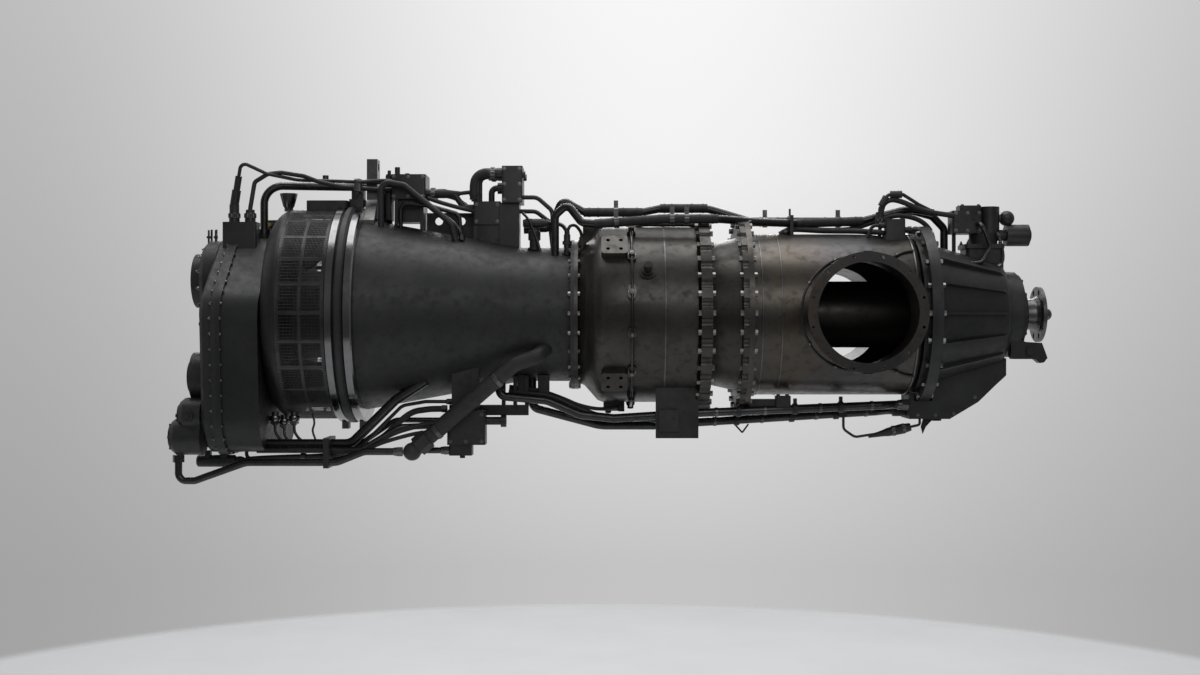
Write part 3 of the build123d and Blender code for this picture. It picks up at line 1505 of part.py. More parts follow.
# Oil filler cap with the dipstick, and its lever that folds on a pin between two ears
lever_pin_radius = 1.5
lever_half_width = 4.5
lever_end_radius = 3.0
lever_pivot = (filler_centre[0] - 11, filler_top + 12)
with BuildPart() as oil_filler_cap:
    rod((*filler_centre, filler_top - 22), (*filler_centre, filler_top + 0.5), 14)
    rod((*filler_centre, filler_top + seat_gap), (*filler_centre, filler_top + 8), 20)
    rod((*filler_centre, filler_top - 210), (*filler_centre, filler_top - 20), 2.5)
    for side in (-1, 1):
        ear = filler_centre[1] + side * (lever_half_width + 1.5 + seat_gap)
        block(
            (lever_pivot[0] - 4, ear - 1.5, filler_top + 7), (lever_pivot[0] + 4, ear + 1.5, filler_top + 16)
        )
    pin_reach = lever_half_width + 3 + seat_gap
    rod(
        (lever_pivot[0], filler_centre[1] - pin_reach, lever_pivot[1]),
        (lever_pivot[0], filler_centre[1] + pin_reach, lever_pivot[1]), lever_pin_radius,
    )
oil_filler_cap.part.label = "oil_filler_cap"
export_step(oil_filler_cap.part, "parts/oil_filler_cap.step")

with BuildPart() as filler_cap_lever:
    near = filler_centre[1] - lever_half_width
    far = filler_centre[1] + lever_half_width
    lever_low = lever_pivot[1] - lever_end_radius
    lever_high = lever_pivot[1] + lever_end_radius
    lever_tip = filler_centre[0] + 17
    rod((lever_pivot[0], near, lever_pivot[1]), (lever_pivot[0], far, lever_pivot[1]), lever_end_radius)
    block((lever_pivot[0], near, lever_low), (lever_tip, far, lever_high))
    rod((lever_tip, filler_centre[1], lever_low), (lever_tip, filler_centre[1], lever_high), 7)
    rod(
        (lever_pivot[0], near, lever_pivot[1]), (lever_pivot[0], far, lever_pivot[1]),
        lever_pin_radius + running_gap, mode=Mode.SUBTRACT,
    )
filler_cap_lever.part.label = "filler_cap_lever"
export_step(filler_cap_lever.part, "parts/filler_cap_lever.step")

# Compressor bleed valve on the neck's far side, with a piston that opens outward
bleed_station = (shoulder_back + neck_back) / 2
bleed_bore = 24.0
bleed_face = neck_radius + 50
bleed_plane_y = neck_radius - 12
with BuildPart() as bleed_valve_body:
    rod((bleed_station, bleed_plane_y, 0), (bleed_station, bleed_face, 0), bleed_bore + 8)
    rod((bleed_station, neck_radius + 4, 0), (bleed_station, neck_radius + 10, 0), bleed_bore + 18)
    rod((bleed_station, bleed_plane_y, 0), (bleed_station, bleed_face - 6, 0), bleed_bore + running_gap,
        mode=Mode.SUBTRACT)
    clear_of_engine()
bleed_valve_body.part.label = "bleed_valve_body"
export_step(bleed_valve_body.part, "parts/bleed_valve_body.step")

with BuildPart() as bleed_valve_piston:
    rod((bleed_station, neck_radius + 8, 0), (bleed_station, neck_radius + 26, 0), bleed_bore)
    rod((bleed_station, neck_radius + 14, 0), (bleed_station, neck_radius + 26, 0), bleed_bore - 4,
        mode=Mode.SUBTRACT)
bleed_valve_piston.part.label = "bleed_valve_piston"
export_step(bleed_valve_piston.part, "parts/bleed_valve_piston.step")

# Propeller governor on top of the gearbox nose
governor_deck = nose_back_radius + 22
with BuildPart() as propeller_governor:
    block((nose_back, -36, 60), (collar_back, 36, governor_deck - 10), rounding=10)
    block((nose_back - 4, -42, governor_deck - 10), (collar_back, 42, governor_deck), rounding=8)
    rod((-130, 0, governor_deck), (-130, 0, governor_deck + 26), 32)
    block((-206, -28, governor_deck + 25), (-139, 28, governor_deck + 77), rounding=6)
    block((-188, -24, governor_deck + 77), (-139, 24, governor_deck + 89), rounding=6)
    rod((-116, 0, governor_deck + 25), (-116, 0, governor_deck + 87), 23)
    rod((-95, 0, governor_deck + 61), (-70, 0, governor_deck + 61), 9)
    with Locations((-76, 0, governor_deck + 61)):
        Sphere(17.7)
    rod((-100, 0, governor_deck + 22), (-78, 0, governor_deck + 22), 13)
    rod((-79, 0, governor_deck + 22), (-27, 0, governor_deck + 22), 25)
    rod((-27, 0, governor_deck + 22), (-22, 0, governor_deck + 22), 14)
    clear_of_engine()
propeller_governor.part.label = "propeller_governor"
export_step(propeller_governor.part, "parts/propeller_governor.step")

# Sensor bracket at the gearbox's lower front
with BuildPart() as front_sensor_bracket:
    with BuildSketch(Plane.XZ.offset(50)):
        with BuildLine():
            Polyline(
                (-86, -50), (-52.6, -63), (-16.5, -65), (-4, -99), (-12, -109),
                (-21, -110.6), (-32, -101.6), (-82, -101.6), (-86, -96), close=True,
            )
        make_face()
    extrude(amount=26)
    rod((-44, -76, -84), (-44, -84, -84), 9)
    clear_of_engine()
front_sensor_bracket.part.label = "front_sensor_bracket"
export_step(front_sensor_bracket.part, "parts/front_sensor_bracket.step")

# Gearbox sump under the reduction gearbox
sump_floor = -238.0
with BuildPart() as gearbox_sump:
    with BuildSketch(Plane.XZ.offset(-46)):
        with BuildLine():
            Polyline(
                (gearbox_back - 9, -100), (gearbox_back - 9, sump_floor), (-217, sump_floor), (-152, -199),
                (-114, -162), (-89, -139), (-89, -100), close=True,
            )
        make_face()
    extrude(amount=92)
    rod((gearbox_back - 9, 0, -222), (gearbox_back - 38, 0, -222), 12)
    rod((-240, 0, sump_floor), (-240, 0, sump_floor - 6), 14)
    with BuildSketch(Plane.XZ.offset(2)):
        with BuildLine():
            Polyline(
                (-268, sump_floor + 2), (-250, sump_floor + 2), (-250, sump_floor - 6),
                (-263, sump_floor - 20), (-270, sump_floor - 36), (-274, sump_floor - 20), close=True,
            )
        make_face()
    extrude(amount=5)
    clear_of_engine()
gearbox_sump.part.label = "gearbox_sump"
export_step(gearbox_sump.part, "parts/gearbox_sump.step")

# Lifting bracket on the cone, with its eye
with BuildPart() as lifting_bracket:
    with BuildSketch(plane_across(-1520)):
        with BuildLine():
            Polyline(
                (-70, 180), (-70, 212), (-22, 262), (-20, 355), (20, 355), (22, 262), (70, 212), (70, 180),
                close=True,
            )
        make_face()
        with Locations((0, 338)):
            Circle(9, mode=Mode.SUBTRACT)
    extrude(amount=-(1544 - 1520))
    clear_of_engine()
lifting_bracket.part.label = "lifting_bracket"
export_step(lifting_bracket.part, "parts/lifting_bracket.step")

# Ignition exciter box on two legs
with BuildPart() as exciter_box:
    block((-1485, -45, 262), (-1407, 45, 318), rounding=6)
    block((-1478, -40, 150), (-1470, 40, 262))
    block((-1420, -40, 150), (-1412, 40, 262))
    block((-1470, -30, 210), (-1420, 30, 262))
    rod((-1474, -20, 318), (-1474, -20, 336), 6)
    rod((-1456, 16, 318), (-1456, 16, 326), 5)
    rod((-1407, -20, 276), (-1386, -20, 276), 11)
    rod((-1407, 20, 276), (-1386, 20, 276), 11)
    clear_of_engine()
exciter_box.part.label = "exciter_box"
export_step(exciter_box.part, "parts/exciter_box.step")

# Control unit on top of the compressor case, with its connectors
unit_sockets = ((-22, 322), (22, 322), (0, 290))
with BuildPart() as control_unit:
    block((-1234, -46, 254), (-1187, 46, 337), rounding=5)
    block((-1240, -30, 100), (-1195, 30, 254))
    block((-1300, -26, 205), (-1238, 26, 258), rounding=4)
    for side, height in unit_sockets:
        rod((-1234, side, height), (-1246, side, height), 13)
    for side in (-30, 30):
        rod((-1187, side, 318), (-1181, side, 318), 8)
    block((-1300, -20, 120), (-1288, 20, 206))
    clear_of_engine()
control_unit.part.label = "control_unit"
export_step(control_unit.part, "parts/control_unit.step")

# Fuel pump on the accessory gearbox's back, and the stepped control unit below the cone
pump_front = agb_back - 6 - seat_gap
pump_column = -150.0
pump_upper = (pump_column, -224.0)
pump_lower = (pump_column, -270.0)
pump_upper_radius = 39.0
pump_lower_radius = 41.0
pump_upper_length = 60.0
pump_lower_length = 79.0
pump_floor = pump_lower[1] - pump_lower_radius
with BuildPart() as fuel_pump:
    disc(pump_front, 31, 55, pump_centre)
    disc(agb_back - 37, 9, 35, pump_centre)
    for centre, radius, length in (
        (pump_upper, pump_upper_radius, pump_upper_length), (pump_lower, pump_lower_radius, pump_lower_length)
    ):
        lathe(
            centre,
            (pump_front, 0),
            (pump_front, radius),
            (agb_back - length + 15, radius),
            (agb_back - length + 5, radius - 8),
            (agb_back - length + 5, radius - 15),
            (agb_back - length, radius - 15),
            (agb_back - length, 0),
        )
    block(
        (agb_back - 42, pump_column - 34, pump_lower[1]), (pump_front, pump_column + 34, pump_upper[1])
    )
    drill(agb_back - pump_lower_length + 5, 4, 29.5, 6, 3, centre=pump_lower, mode=Mode.ADD)
    drill(agb_back - pump_upper_length, 4, 15, 4, 4, centre=pump_upper, mode=Mode.ADD)
    rod((agb_back - 30, pump_column - 50, pump_upper[1]), (agb_back - 30, pump_column, pump_upper[1]), 12)
    rod((agb_back - 30, pump_column - 56, pump_upper[1]), (agb_back - 30, pump_column, pump_upper[1]), 5)
    clear_of_accessory_gearbox()
fuel_pump.part.label = "fuel_pump"
export_step(fuel_pump.part, "parts/fuel_pump.step")

with BuildPart() as fuel_control_unit:
    block((-1350, -130, -291), (-1265, -70, -215), rounding=8)
    block((-1346, -125, -315), (-1295, -75, -291), rounding=6)
    rod((-1318, -100, -322), (-1318, -100, -315), 6)
    rod((-1265, -100, -239), (-1232, -100, -239), 9)
    rod((-1232, -100, -239), (-1220, -100, -239), 14)
    block((-1350, -76, -228), (-1172, -54, -205))
    block((-1232, -76, -205), (-1224, -54, -140))
    block((-1180, -76, -205), (-1172, -54, -140))
    block((-1206, -76, -205), (-1198, -54, -140))
    block((-1340, -122, -216), (-1280, -78, -100))
    clear_of_engine()
fuel_control_unit.part.label = "fuel_control_unit"
export_step(fuel_control_unit.part, "parts/fuel_control_unit.step")

# Breather pipe from the accessory gearbox to the cone
breather_base = starter_centre[1] + 106
with BuildPart() as breather_pipe:
    pipe(
        (breather_station, 0, breather_base + seat_gap),
        (breather_station, 0, 296),
        (-1600, 32, 296),
        (-1506, 32, 296),
        (-1506, 32, 190),
        bend=[42, 60, 30], radius=9,
    )
    collar((breather_station, 0, breather_base + seat_gap), (breather_station, 0, 296), 14, 12)
    rod((-1506, 32, 190), (-1506, 32, 222), 14)
    rod((-1646, 23, 296), (-1646, 23, 322), 7)
    clear_of_engine()
breather_pipe.part.label = "breather_pipe"
export_step(breather_pipe.part, "parts/breather_pipe.step")

# Top conduits from the control unit to the gearbox
with BuildPart() as top_conduits:
    pipe(
        (-1187 + seat_gap, 15, 199),
        (-1125, 15, 199),
        (-1098, 15, 266),
        (-1072, 15, 250),
        (-1046, 15, 236),
        (-915, 15, 236),
        (-870, 15, 245),
        (-765, 15, 245),
        (-660, 15, 214),
        (-412, 15, 214),
        (-300, 20, 243),
        (-240, 30, 228),
        (-212, 34, 200),
        (-212, 34, 120),
        bend=[20, 14, 14, 22, 100, 100, 100, 100, 100, 80, 24, 16], radius=9,
    )
    pipe(
        (-1112, -72, 120),
        (-1112, -72, 222),
        (-1084, -84, 246),
        (-1052, -96, 204),
        (-1020, -100, 201),
        (-866, -100, 212),
        (-750, -100, 212),
        (-660, -60, 208),
        (-560, -14, 208),
        (-412, -8, 214),
        (-300, -4, 243),
        (-244, 4, 234),
        bend=[16, 16, 16, 20, 100, 100, 60, 60, 100, 100], radius=9,
    )
    clear_of_engine()
top_conduits.part.label = "top_conduits"
export_step(top_conduits.part, "parts/top_conduits.step")

# Rigid tubes: oil pipes along the bottom, and the tubes between the gearbox, fuel pump and fuel control
oil_pipe_radius = 9.5
clip_leg_gap = 1.7
near_run = ((-792, -90, -222), (-372, -60, -206))
middle_run = ((-792, -40, -246), (-372, 20, -224))
thick_tube = 11.0
thin_tube = 4.0
with BuildPart() as rigid_tubes:
    pipe(
        (-1236, -90, -110),
        (-1236, -90, -184),
        (-1130, -90, -194),
        (-1055, -90, -226),
        (-980, -90, -234),
        *near_run,
        (-345, -34, -206),
        (gearbox_back - 9 - seat_gap, -34, -206),
        bend=[16, 60, 60, 60, 200, 20, 20], radius=oil_pipe_radius,
    )
    pipe(
        (-1165, -40, -100),
        (-1165, -40, -212),
        (-1010, -40, -253),
        (-889, -40, -253),
        *middle_run,
        (-345, 33, -222),
        (gearbox_back - 9 - seat_gap, 33, -222),
        bend=[20, 100, 100, 100, 20, 20], radius=oil_pipe_radius,
    )
    pipe(
        (agb_front - 20, -110, -290),
        (-1565, -110, -290),
        (-1466, -110, -192),
        (-1399, -110, -150),
        bend=[34, 44], radius=thick_tube,
    )
    pipe(
        (agb_front - 20, -130, -302),
        (-1540, -130, -302),
        (-1455, -116, -252),
        (-1400, -110, -250),
        (-1350 - seat_gap, -110, -250),
        bend=[30, 30, 30], radius=7,
    )
    pipe(
        (agb_front - 50, -100, -300),
        (agb_front - 50, -100, -323),
        (-1592, -100, -323),
        (-1548, -100, -300),
        (-1452, -102, -205),
        (-1400, -102, -196),
        (-1340 - seat_gap, -102, -196),
        bend=[10, 30, 30, 30, 30], radius=thin_tube,
    )
    pipe(
        (agb_front - 20, -84, -300),
        (-1560, -84, -300),
        (-1470, -84, -238),
        (-1420, -88, -238),
        (-1350 - seat_gap, -90, -238),
        bend=[34, 30, 40], radius=6,
    )
    pipe(
        (agb_back - 62, pump_column, pump_floor - seat_gap),
        (agb_back - 62, pump_column, -368),
        (agb_back - 26, pump_column, -368),
        (-1790, pump_column, -328),
        (-1590, pump_column, -328),
        (-1530, pump_column, -304),
        (-1444.5, pump_column, -304),
        bend=[17, 17, 60, 40, 40], radius=8,
    )
    nut((agb_back - 62, pump_column, pump_floor - seat_gap), (agb_back - 62, pump_column, -368), 13, 16)
    pipe(
        (-1424, pump_column + 20 + seat_gap, -304),
        (-1424, -112, -304),
        (-1346 - seat_gap, -112, -304),
        bend=[12], radius=7,
    )
    pipe(
        (-1462, -54, 170),
        (-1462, -54, 252),
        (-1400, -54, 246),
        (-1330, -52, 226),
        (-1322, -52, 130),
        bend=[16, 60, 16], radius=5,
    )
    pipe(
        (-150, -28 - seat_gap, 206),
        (-150, -62, 206),
        (-129, -66, 150),
        (-150, -68, 116),
        (-215, -72, 110),
        bend=[20, 18, 16], radius=5,
    )
    clear_of_engine()
    clear_of_accessory_gearbox()
rigid_tubes.part.label = "rigid_tubes"
export_step(rigid_tubes.part, "parts/rigid_tubes.step")

# Large bleed air hose up the near side to the neck
with BuildPart() as bleed_air_hose:
    hose_start = (-1424, -150, -304)
    with Locations(hose_start):
        Sphere(20)
    pipe(
        hose_start,
        (-1200, -152, -112),
        (-1150, -152, -95),
        (-1128, -118, -74),
        bend=[60, 20], radius=17,
    )
    nut((-1412, -150, -294), (-1200, -152, -112), 23, 30)
    clear_of_engine()
bleed_air_hose.part.label = "bleed_air_hose"
export_step(bleed_air_hose.part, "parts/bleed_air_hose.step")

# Wiring harness: the sensor cables, the igniter lead, the exciter's cables and the front loops
with BuildPart() as wiring_harness:
    pipe(
        (-1840, -48, 216 + seat_gap), (-1840, -48, 248), (-1822, -60, 344), (-1766, -50, 318),
        (-1700, -28, 306), (-1600, -30, 303), (-1520, -30, 300), (-1485 - seat_gap, -30, 300),
        bend=[12, 12, 30, 60, 60, 60], radius=4,
    )
    collar((-1840, -48, 216 + seat_gap), (-1840, -48, 248), 11, 32)
    collar((-1840, -48, 248), (-1822, -60, 344), 10, 34)
    collar((-1840, -48, 248), (-1822, -60, 344), 7.5, 66)
    pipe(
        (-1804, -48, 216 + seat_gap), (-1804, -48, 240), (-1795, -44, 300), (-1766, -44, 318),
        (-1736, -40, 322), (-1684, -38, 314), (-1650, -38, 301), (-1600, -38, 290),
        (-1520, -38, 284), (-1485 - seat_gap, -38, 284),
        bend=[10, 12, 20, 30, 30, 30, 30, 30], radius=5,
    )
    collar((-1804, -48, 216 + seat_gap), (-1804, -48, 240), 10, 20)
    pipe(
        (-1504, -72, 160), (-1504, -72, 299), (-1452, -72, 290), (-1346, -72, 204), (-1330, -72, 140),
        bend=[18, 20, 20], radius=7,
    )
    pipe(
        (-1386 + seat_gap, -20, 276), (-1345, -20, 276), (-1322, -20, 244), (-1300 - seat_gap, -20, 244),
        bend=[12, 10], radius=7,
    )
    collar((-1386 + seat_gap, -20, 276), (-1345, -20, 276), 10, 18)
    pipe(
        (-374, -36, 150), (-374, -36, 240), (-356, -36, 272), (-322, -36, 273), (-284, -30, 250),
        (-240, -20, 230), (-206 - seat_gap, -20, 230),
        bend=[10, 12, 12, 20, 20], radius=4,
    )
    collar((-374, -36, 206), (-374, -36, 240), 9, 26)
    collar((-371, -36, 246), (-356, -36, 272), 8.5, 24)
    collar((-350, -36, 272.2), (-322, -36, 273), 8.5, 26)
    for side, height in unit_sockets:
        turn_station = -1290 + (30 if side == 0 else 0)
        pipe(
            (-1246 - seat_gap, side, height),
            (turn_station, side, height),
            (turn_station, side, 258 + seat_gap),
            bend=[12 if side == 0 else 20], radius=7,
        )
        if side:
            collar((-1246 - seat_gap, side, height), (turn_station, side, height), 12, 22)
    pipe(
        (-1195 + seat_gap, -12, 236), (-1158, -12, 236), (-1126, -12, 212), (-1118, -12, 140),
        bend=[24, 16], radius=5,
    )
    pipe(
        (-1187 + seat_gap, -34, 266), (-1154, -34, 266), (-1120, -38, 236), (-1112, -40, 140),
        bend=[24, 20], radius=5,
    )
    pipe(
        (-456, -30, -234 - seat_gap), (-456, -30, -262), (-430, -30, -280), (-352, -30, -268),
        (-300, -30, -256), (-282, -30, -252), (-282, -30, sump_floor - seat_gap),
        bend=[14, 18, 30, 10, 6], radius=3,
    )
    collar((-352, -30, -268), (-300, -30, -256), 8, 40)
    clear_of_engine()
wiring_harness.part.label = "wiring_harness"
export_step(wiring_harness.part, "parts/wiring_harness.step")



def on_run(run, station):
    """The point where a straight run passes a station."""
    share = (station - run[0][0]) / (run[1][0] - run[0][0])
    return tuple(run[0][axis] + share * (run[1][axis] - run[0][axis]) for axis in range(3))


def clamp(run, station, radius):
    """A band clamp with its tab and screw on top, round a straight run of pipe."""
    x, y, z = on_run(run, station)
    rod(on_run(run, station - 5), on_run(run, station + 5), radius + 3)
    block((x - 4, y - 2.5, z + radius + 1), (x + 4, y + 2.5, z + radius + 14))
    rod((x, y - 7, z + radius + 9), (x, y + 7, z + radius + 9), 2.5)
    rod(on_run(run, station - 12), on_run(run, station + 12), radius + seat_gap, mode=Mode.SUBTRACT)


# Pipe brackets: the saddle over the rings, the drain bracket under the gas generator case, the plate
# beside the exciter, the conduits' post, the clamps on the oil pipes, the clip round the tube bundle
# and the sensor lead's clip
conduit_radius = 9.0
bundle = ((-110, -290, thick_tube), (-130, -302, 7), (-100, -323, thin_tube), (-84, -300, 6), (-150, -328, 8))
with BuildPart() as pipe_brackets:
    block((-1678, -50, 200), (-1583, 50, 258), rounding=12)
    block((-887, -116, -277), (-792, -108, -140))
    block((-880, -122, -262), (-836, -116, -214))
    block((-1410, 10, 150), (-1301, 16, 234))
    for station in (-1382, -1330):
        rod((station, 0, 215), (station, 30, 215), 9, mode=Mode.SUBTRACT)
    block((-578, -34, 150), (-570, 28, 226))
    block((-576, 0, 226), (-572, 8, 243))
    rod((-590, 15, 214), (-558, 15, 214), conduit_radius + seat_gap, mode=Mode.SUBTRACT)
    rod((-600, -32.4, 208), (-550, -9.4, 208), conduit_radius + 1, mode=Mode.SUBTRACT)
    block((-1618, -162, -340), (-1606, -74, -274))
    for y, z, radius in bundle:
        rod((-1625, y, z), (-1600, y, z), radius + seat_gap, mode=Mode.SUBTRACT)
    for station in (-700, -572, -468):
        clamp(near_run, station, oil_pipe_radius)
        clamp(middle_run, station, oil_pipe_radius)
    clip_x, clip_y, clip_z = on_run(middle_run, -686)
    for station in (-702, -672):
        x, y, z = on_run(middle_run, station)
        clip_tip = (clip_x, clip_y, clip_z - oil_pipe_radius - 20)
        rod((x, y, z - oil_pipe_radius - clip_leg_gap), clip_tip, 2)
    block((-464, -34, -234), (-448, -26, -222))
    block((-464, -26, -234), (-448, -3.2, -228))
    clear_of_engine()
pipe_brackets.part.label = "pipe_brackets"
export_step(pipe_brackets.part, "parts/pipe_brackets.step")

# Speed sensor block on the accessory gearbox
with BuildPart() as speed_sensor_block:
    block((-1863, -68, 120), (-1786, -28, 208), rounding=5)
    rod((-1840, -48, 208), (-1840, -48, 216), 12)
    rod((-1804, -48, 208), (-1804, -48, 216), 12)
    clear_of_accessory_gearbox()
speed_sensor_block.part.label = "speed_sensor_block"
export_step(speed_sensor_block.part, "parts/speed_sensor_block.step")
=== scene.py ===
"""Looks of a turboprop engine: finishes for every part, fine hardware, and a pale studio round it."""

from __future__ import annotations

import json
import logging
import math
from dataclasses import dataclass
from enum import Enum
from itertools import product
from typing import Iterable, Sequence

import bmesh
import bpy
from mathutils import Matrix, Vector

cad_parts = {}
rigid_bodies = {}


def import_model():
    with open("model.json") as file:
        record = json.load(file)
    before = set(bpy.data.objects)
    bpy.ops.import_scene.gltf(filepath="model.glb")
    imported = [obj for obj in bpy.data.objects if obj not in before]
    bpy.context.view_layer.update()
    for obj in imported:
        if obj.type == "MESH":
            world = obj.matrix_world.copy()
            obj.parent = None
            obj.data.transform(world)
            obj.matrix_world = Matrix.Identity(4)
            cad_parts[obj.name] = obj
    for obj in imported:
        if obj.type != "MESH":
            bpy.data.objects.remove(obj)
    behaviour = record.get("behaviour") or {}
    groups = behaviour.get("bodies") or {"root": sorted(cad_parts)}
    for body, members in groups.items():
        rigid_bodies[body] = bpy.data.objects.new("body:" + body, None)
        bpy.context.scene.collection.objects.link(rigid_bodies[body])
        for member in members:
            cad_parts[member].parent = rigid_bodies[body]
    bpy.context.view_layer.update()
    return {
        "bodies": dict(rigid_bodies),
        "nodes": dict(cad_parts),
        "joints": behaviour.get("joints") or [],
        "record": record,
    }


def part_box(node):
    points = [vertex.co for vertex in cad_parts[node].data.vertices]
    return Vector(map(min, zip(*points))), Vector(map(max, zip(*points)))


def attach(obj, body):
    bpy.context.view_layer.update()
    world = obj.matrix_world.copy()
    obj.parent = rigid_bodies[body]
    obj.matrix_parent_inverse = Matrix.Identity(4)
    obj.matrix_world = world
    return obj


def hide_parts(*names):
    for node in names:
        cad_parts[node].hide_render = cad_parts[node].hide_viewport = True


log = logging.getLogger("turboprop")

Colour = tuple[float, float, float]
Point = tuple[float, float, float]
Pair = tuple[float, float]
Outline = Sequence[Pair]
Socket = bpy.types.NodeSocket

# Directions in the engine's frame; the camera looks from the near side.
FORWARD, AFT = (1, 0, 0), (-1, 0, 0)
FAR, NEAR = (0, 1, 0), (0, -1, 0)
UP, DOWN = (0, 0, 1), (0, 0, -1)

MM = 0.001
SMOOTH_ANGLE = math.radians(32)
WELD_DISTANCE = 2e-6
DOUBLES_DISTANCE = 1e-7
# Degrees above which an edge stays sharp, on a piece and on a shape that is copied.
PIECE_CRISP = 40
COPY_CRISP = 35
CORNER_STEPS = 4
# How often a tube's texture repeats in one turn round it.
UV_REPEATS = 3
# A washer's bottom and top, in millimetres; it reaches a little into its seat.
WASHER = (-0.4, 0.9)
# The turn that stands a flat circle up, across the engine's axis.
UPRIGHT = (0.0, math.pi / 2, 0.0)


class Surface(Enum):
    """The kinds of surface texture that a finish can have."""

    CAST = "cast"
    BRUSHED = "brushed"
    TURNED = "turned"
    MOULDED = "moulded"
    PAINTED = "painted"
    BRAIDED = "braided"
    WOVEN = "woven"


class NodeTree:
    """Adds nodes to a tree and links them."""

    def __init__(self, tree: bpy.types.NodeTree) -> None:
        """Start with an empty tree.

        Args:
            tree: The tree; the nodes that it holds are cleared.
        """
        self.tree = tree
        self.tree.nodes.clear()

    def add(self, kind: str, inputs: dict | None = None, **settings) -> bpy.types.Node:
        """Add a node.

        Args:
            kind: The node's type name.
            inputs: Socket names or numbers with the values or the sockets that feed them.
            **settings: Attributes of the node itself.

        Returns:
            The new node.
        """
        node = self.tree.nodes.new(kind)
        for key, value in settings.items():
            setattr(node, key, value)
        for key, value in (inputs or {}).items():
            if isinstance(value, Socket):
                self.tree.links.new(value, node.inputs[key])
            else:
                node.inputs[key].default_value = value
        return node

    def out(self, kind: str, inputs: dict | None = None, **settings) -> Socket:
        """The first output of a new node."""
        return self.add(kind, inputs, **settings).outputs[0]

    def math(self, operation: str, first: Socket | float, second: Socket | float = 0.0) -> Socket:
        """One arithmetic step on two values or sockets."""
        return self.out("ShaderNodeMath", {0: first, 1: second}, operation=operation)

    def remap(self, value: Socket, limits: Sequence[float], kind: str = "LINEAR") -> Socket:
        """Map a value onto a range, held at both ends.

        Args:
            value: The value.
            limits: From low, from high, to low and to high.
            kind: How it goes from one end to the other.

        Returns:
            The value socket.
        """
        inputs = {"Value": value, **dict(enumerate(limits, 1))}
        return self.out("ShaderNodeMapRange", inputs, interpolation_type=kind)


def in_scene(name: str, data: bpy.types.ID) -> bpy.types.Object:
    """A new object that the scene shows."""
    thing = bpy.data.objects.new(name, data)
    bpy.context.scene.collection.objects.link(thing)
    return thing


# Stretch, scale and detail of the noise on each plain surface.
GRAIN: dict[Surface, tuple[Point, float, float]] = {
    Surface.BRUSHED: ((0.05, 1.0, 1.0), 1300.0, 3.0),
    Surface.TURNED: ((1.0, 0.02, 0.02), 1600.0, 2.0),
    Surface.PAINTED: ((1.0, 1.0, 1.0), 420.0, 1.0),
    Surface.MOULDED: ((1.0, 1.0, 1.0), 700.0, 2.0),
}
# Turns of the crossing waves that make a braid and a weave, and their scales.
BRAID_TURNS = ((0, 0, math.radians(38)), (0, 0, math.radians(-38)))
BRAID_SCALE = 1.6
WEAVE_TURNS = ((0.0, 0.7, 0.6), (0.0, -0.7, 0.6), (0.6, 0.0, -0.8))
WEAVE_SCALE = 95.0
# Scale, in cycles a metre, and detail of the noises in the finishes.
PATCHES, MOTTLE, WANDER = (9.0, 5.0), (55.0, 4.0), (5.0, 3.0)
CAST_FINE, CAST_COARSE = (900.0, 3.0), (160.0, 2.0)
# Between which values of a noise the wear, the grime and the roughness change.
WEAR_RANGE, GRIME_RANGE, ROUGH_RANGE = (0.38, 0.66), (0.52, 0.74), (0.3, 0.72)
GRIME_SHARE = 0.75
# Heat tints: how often they come back in a metre, how far noise moves them, and how strong they are.
TINT_CYCLES, TINT_WANDER, TINT_SHARE = 3.1, 0.45, 0.55
BUMP_HEIGHT = 0.0004
COAT_ROUGHNESS = 0.25
WHITE = (1.0, 1.0, 1.0)


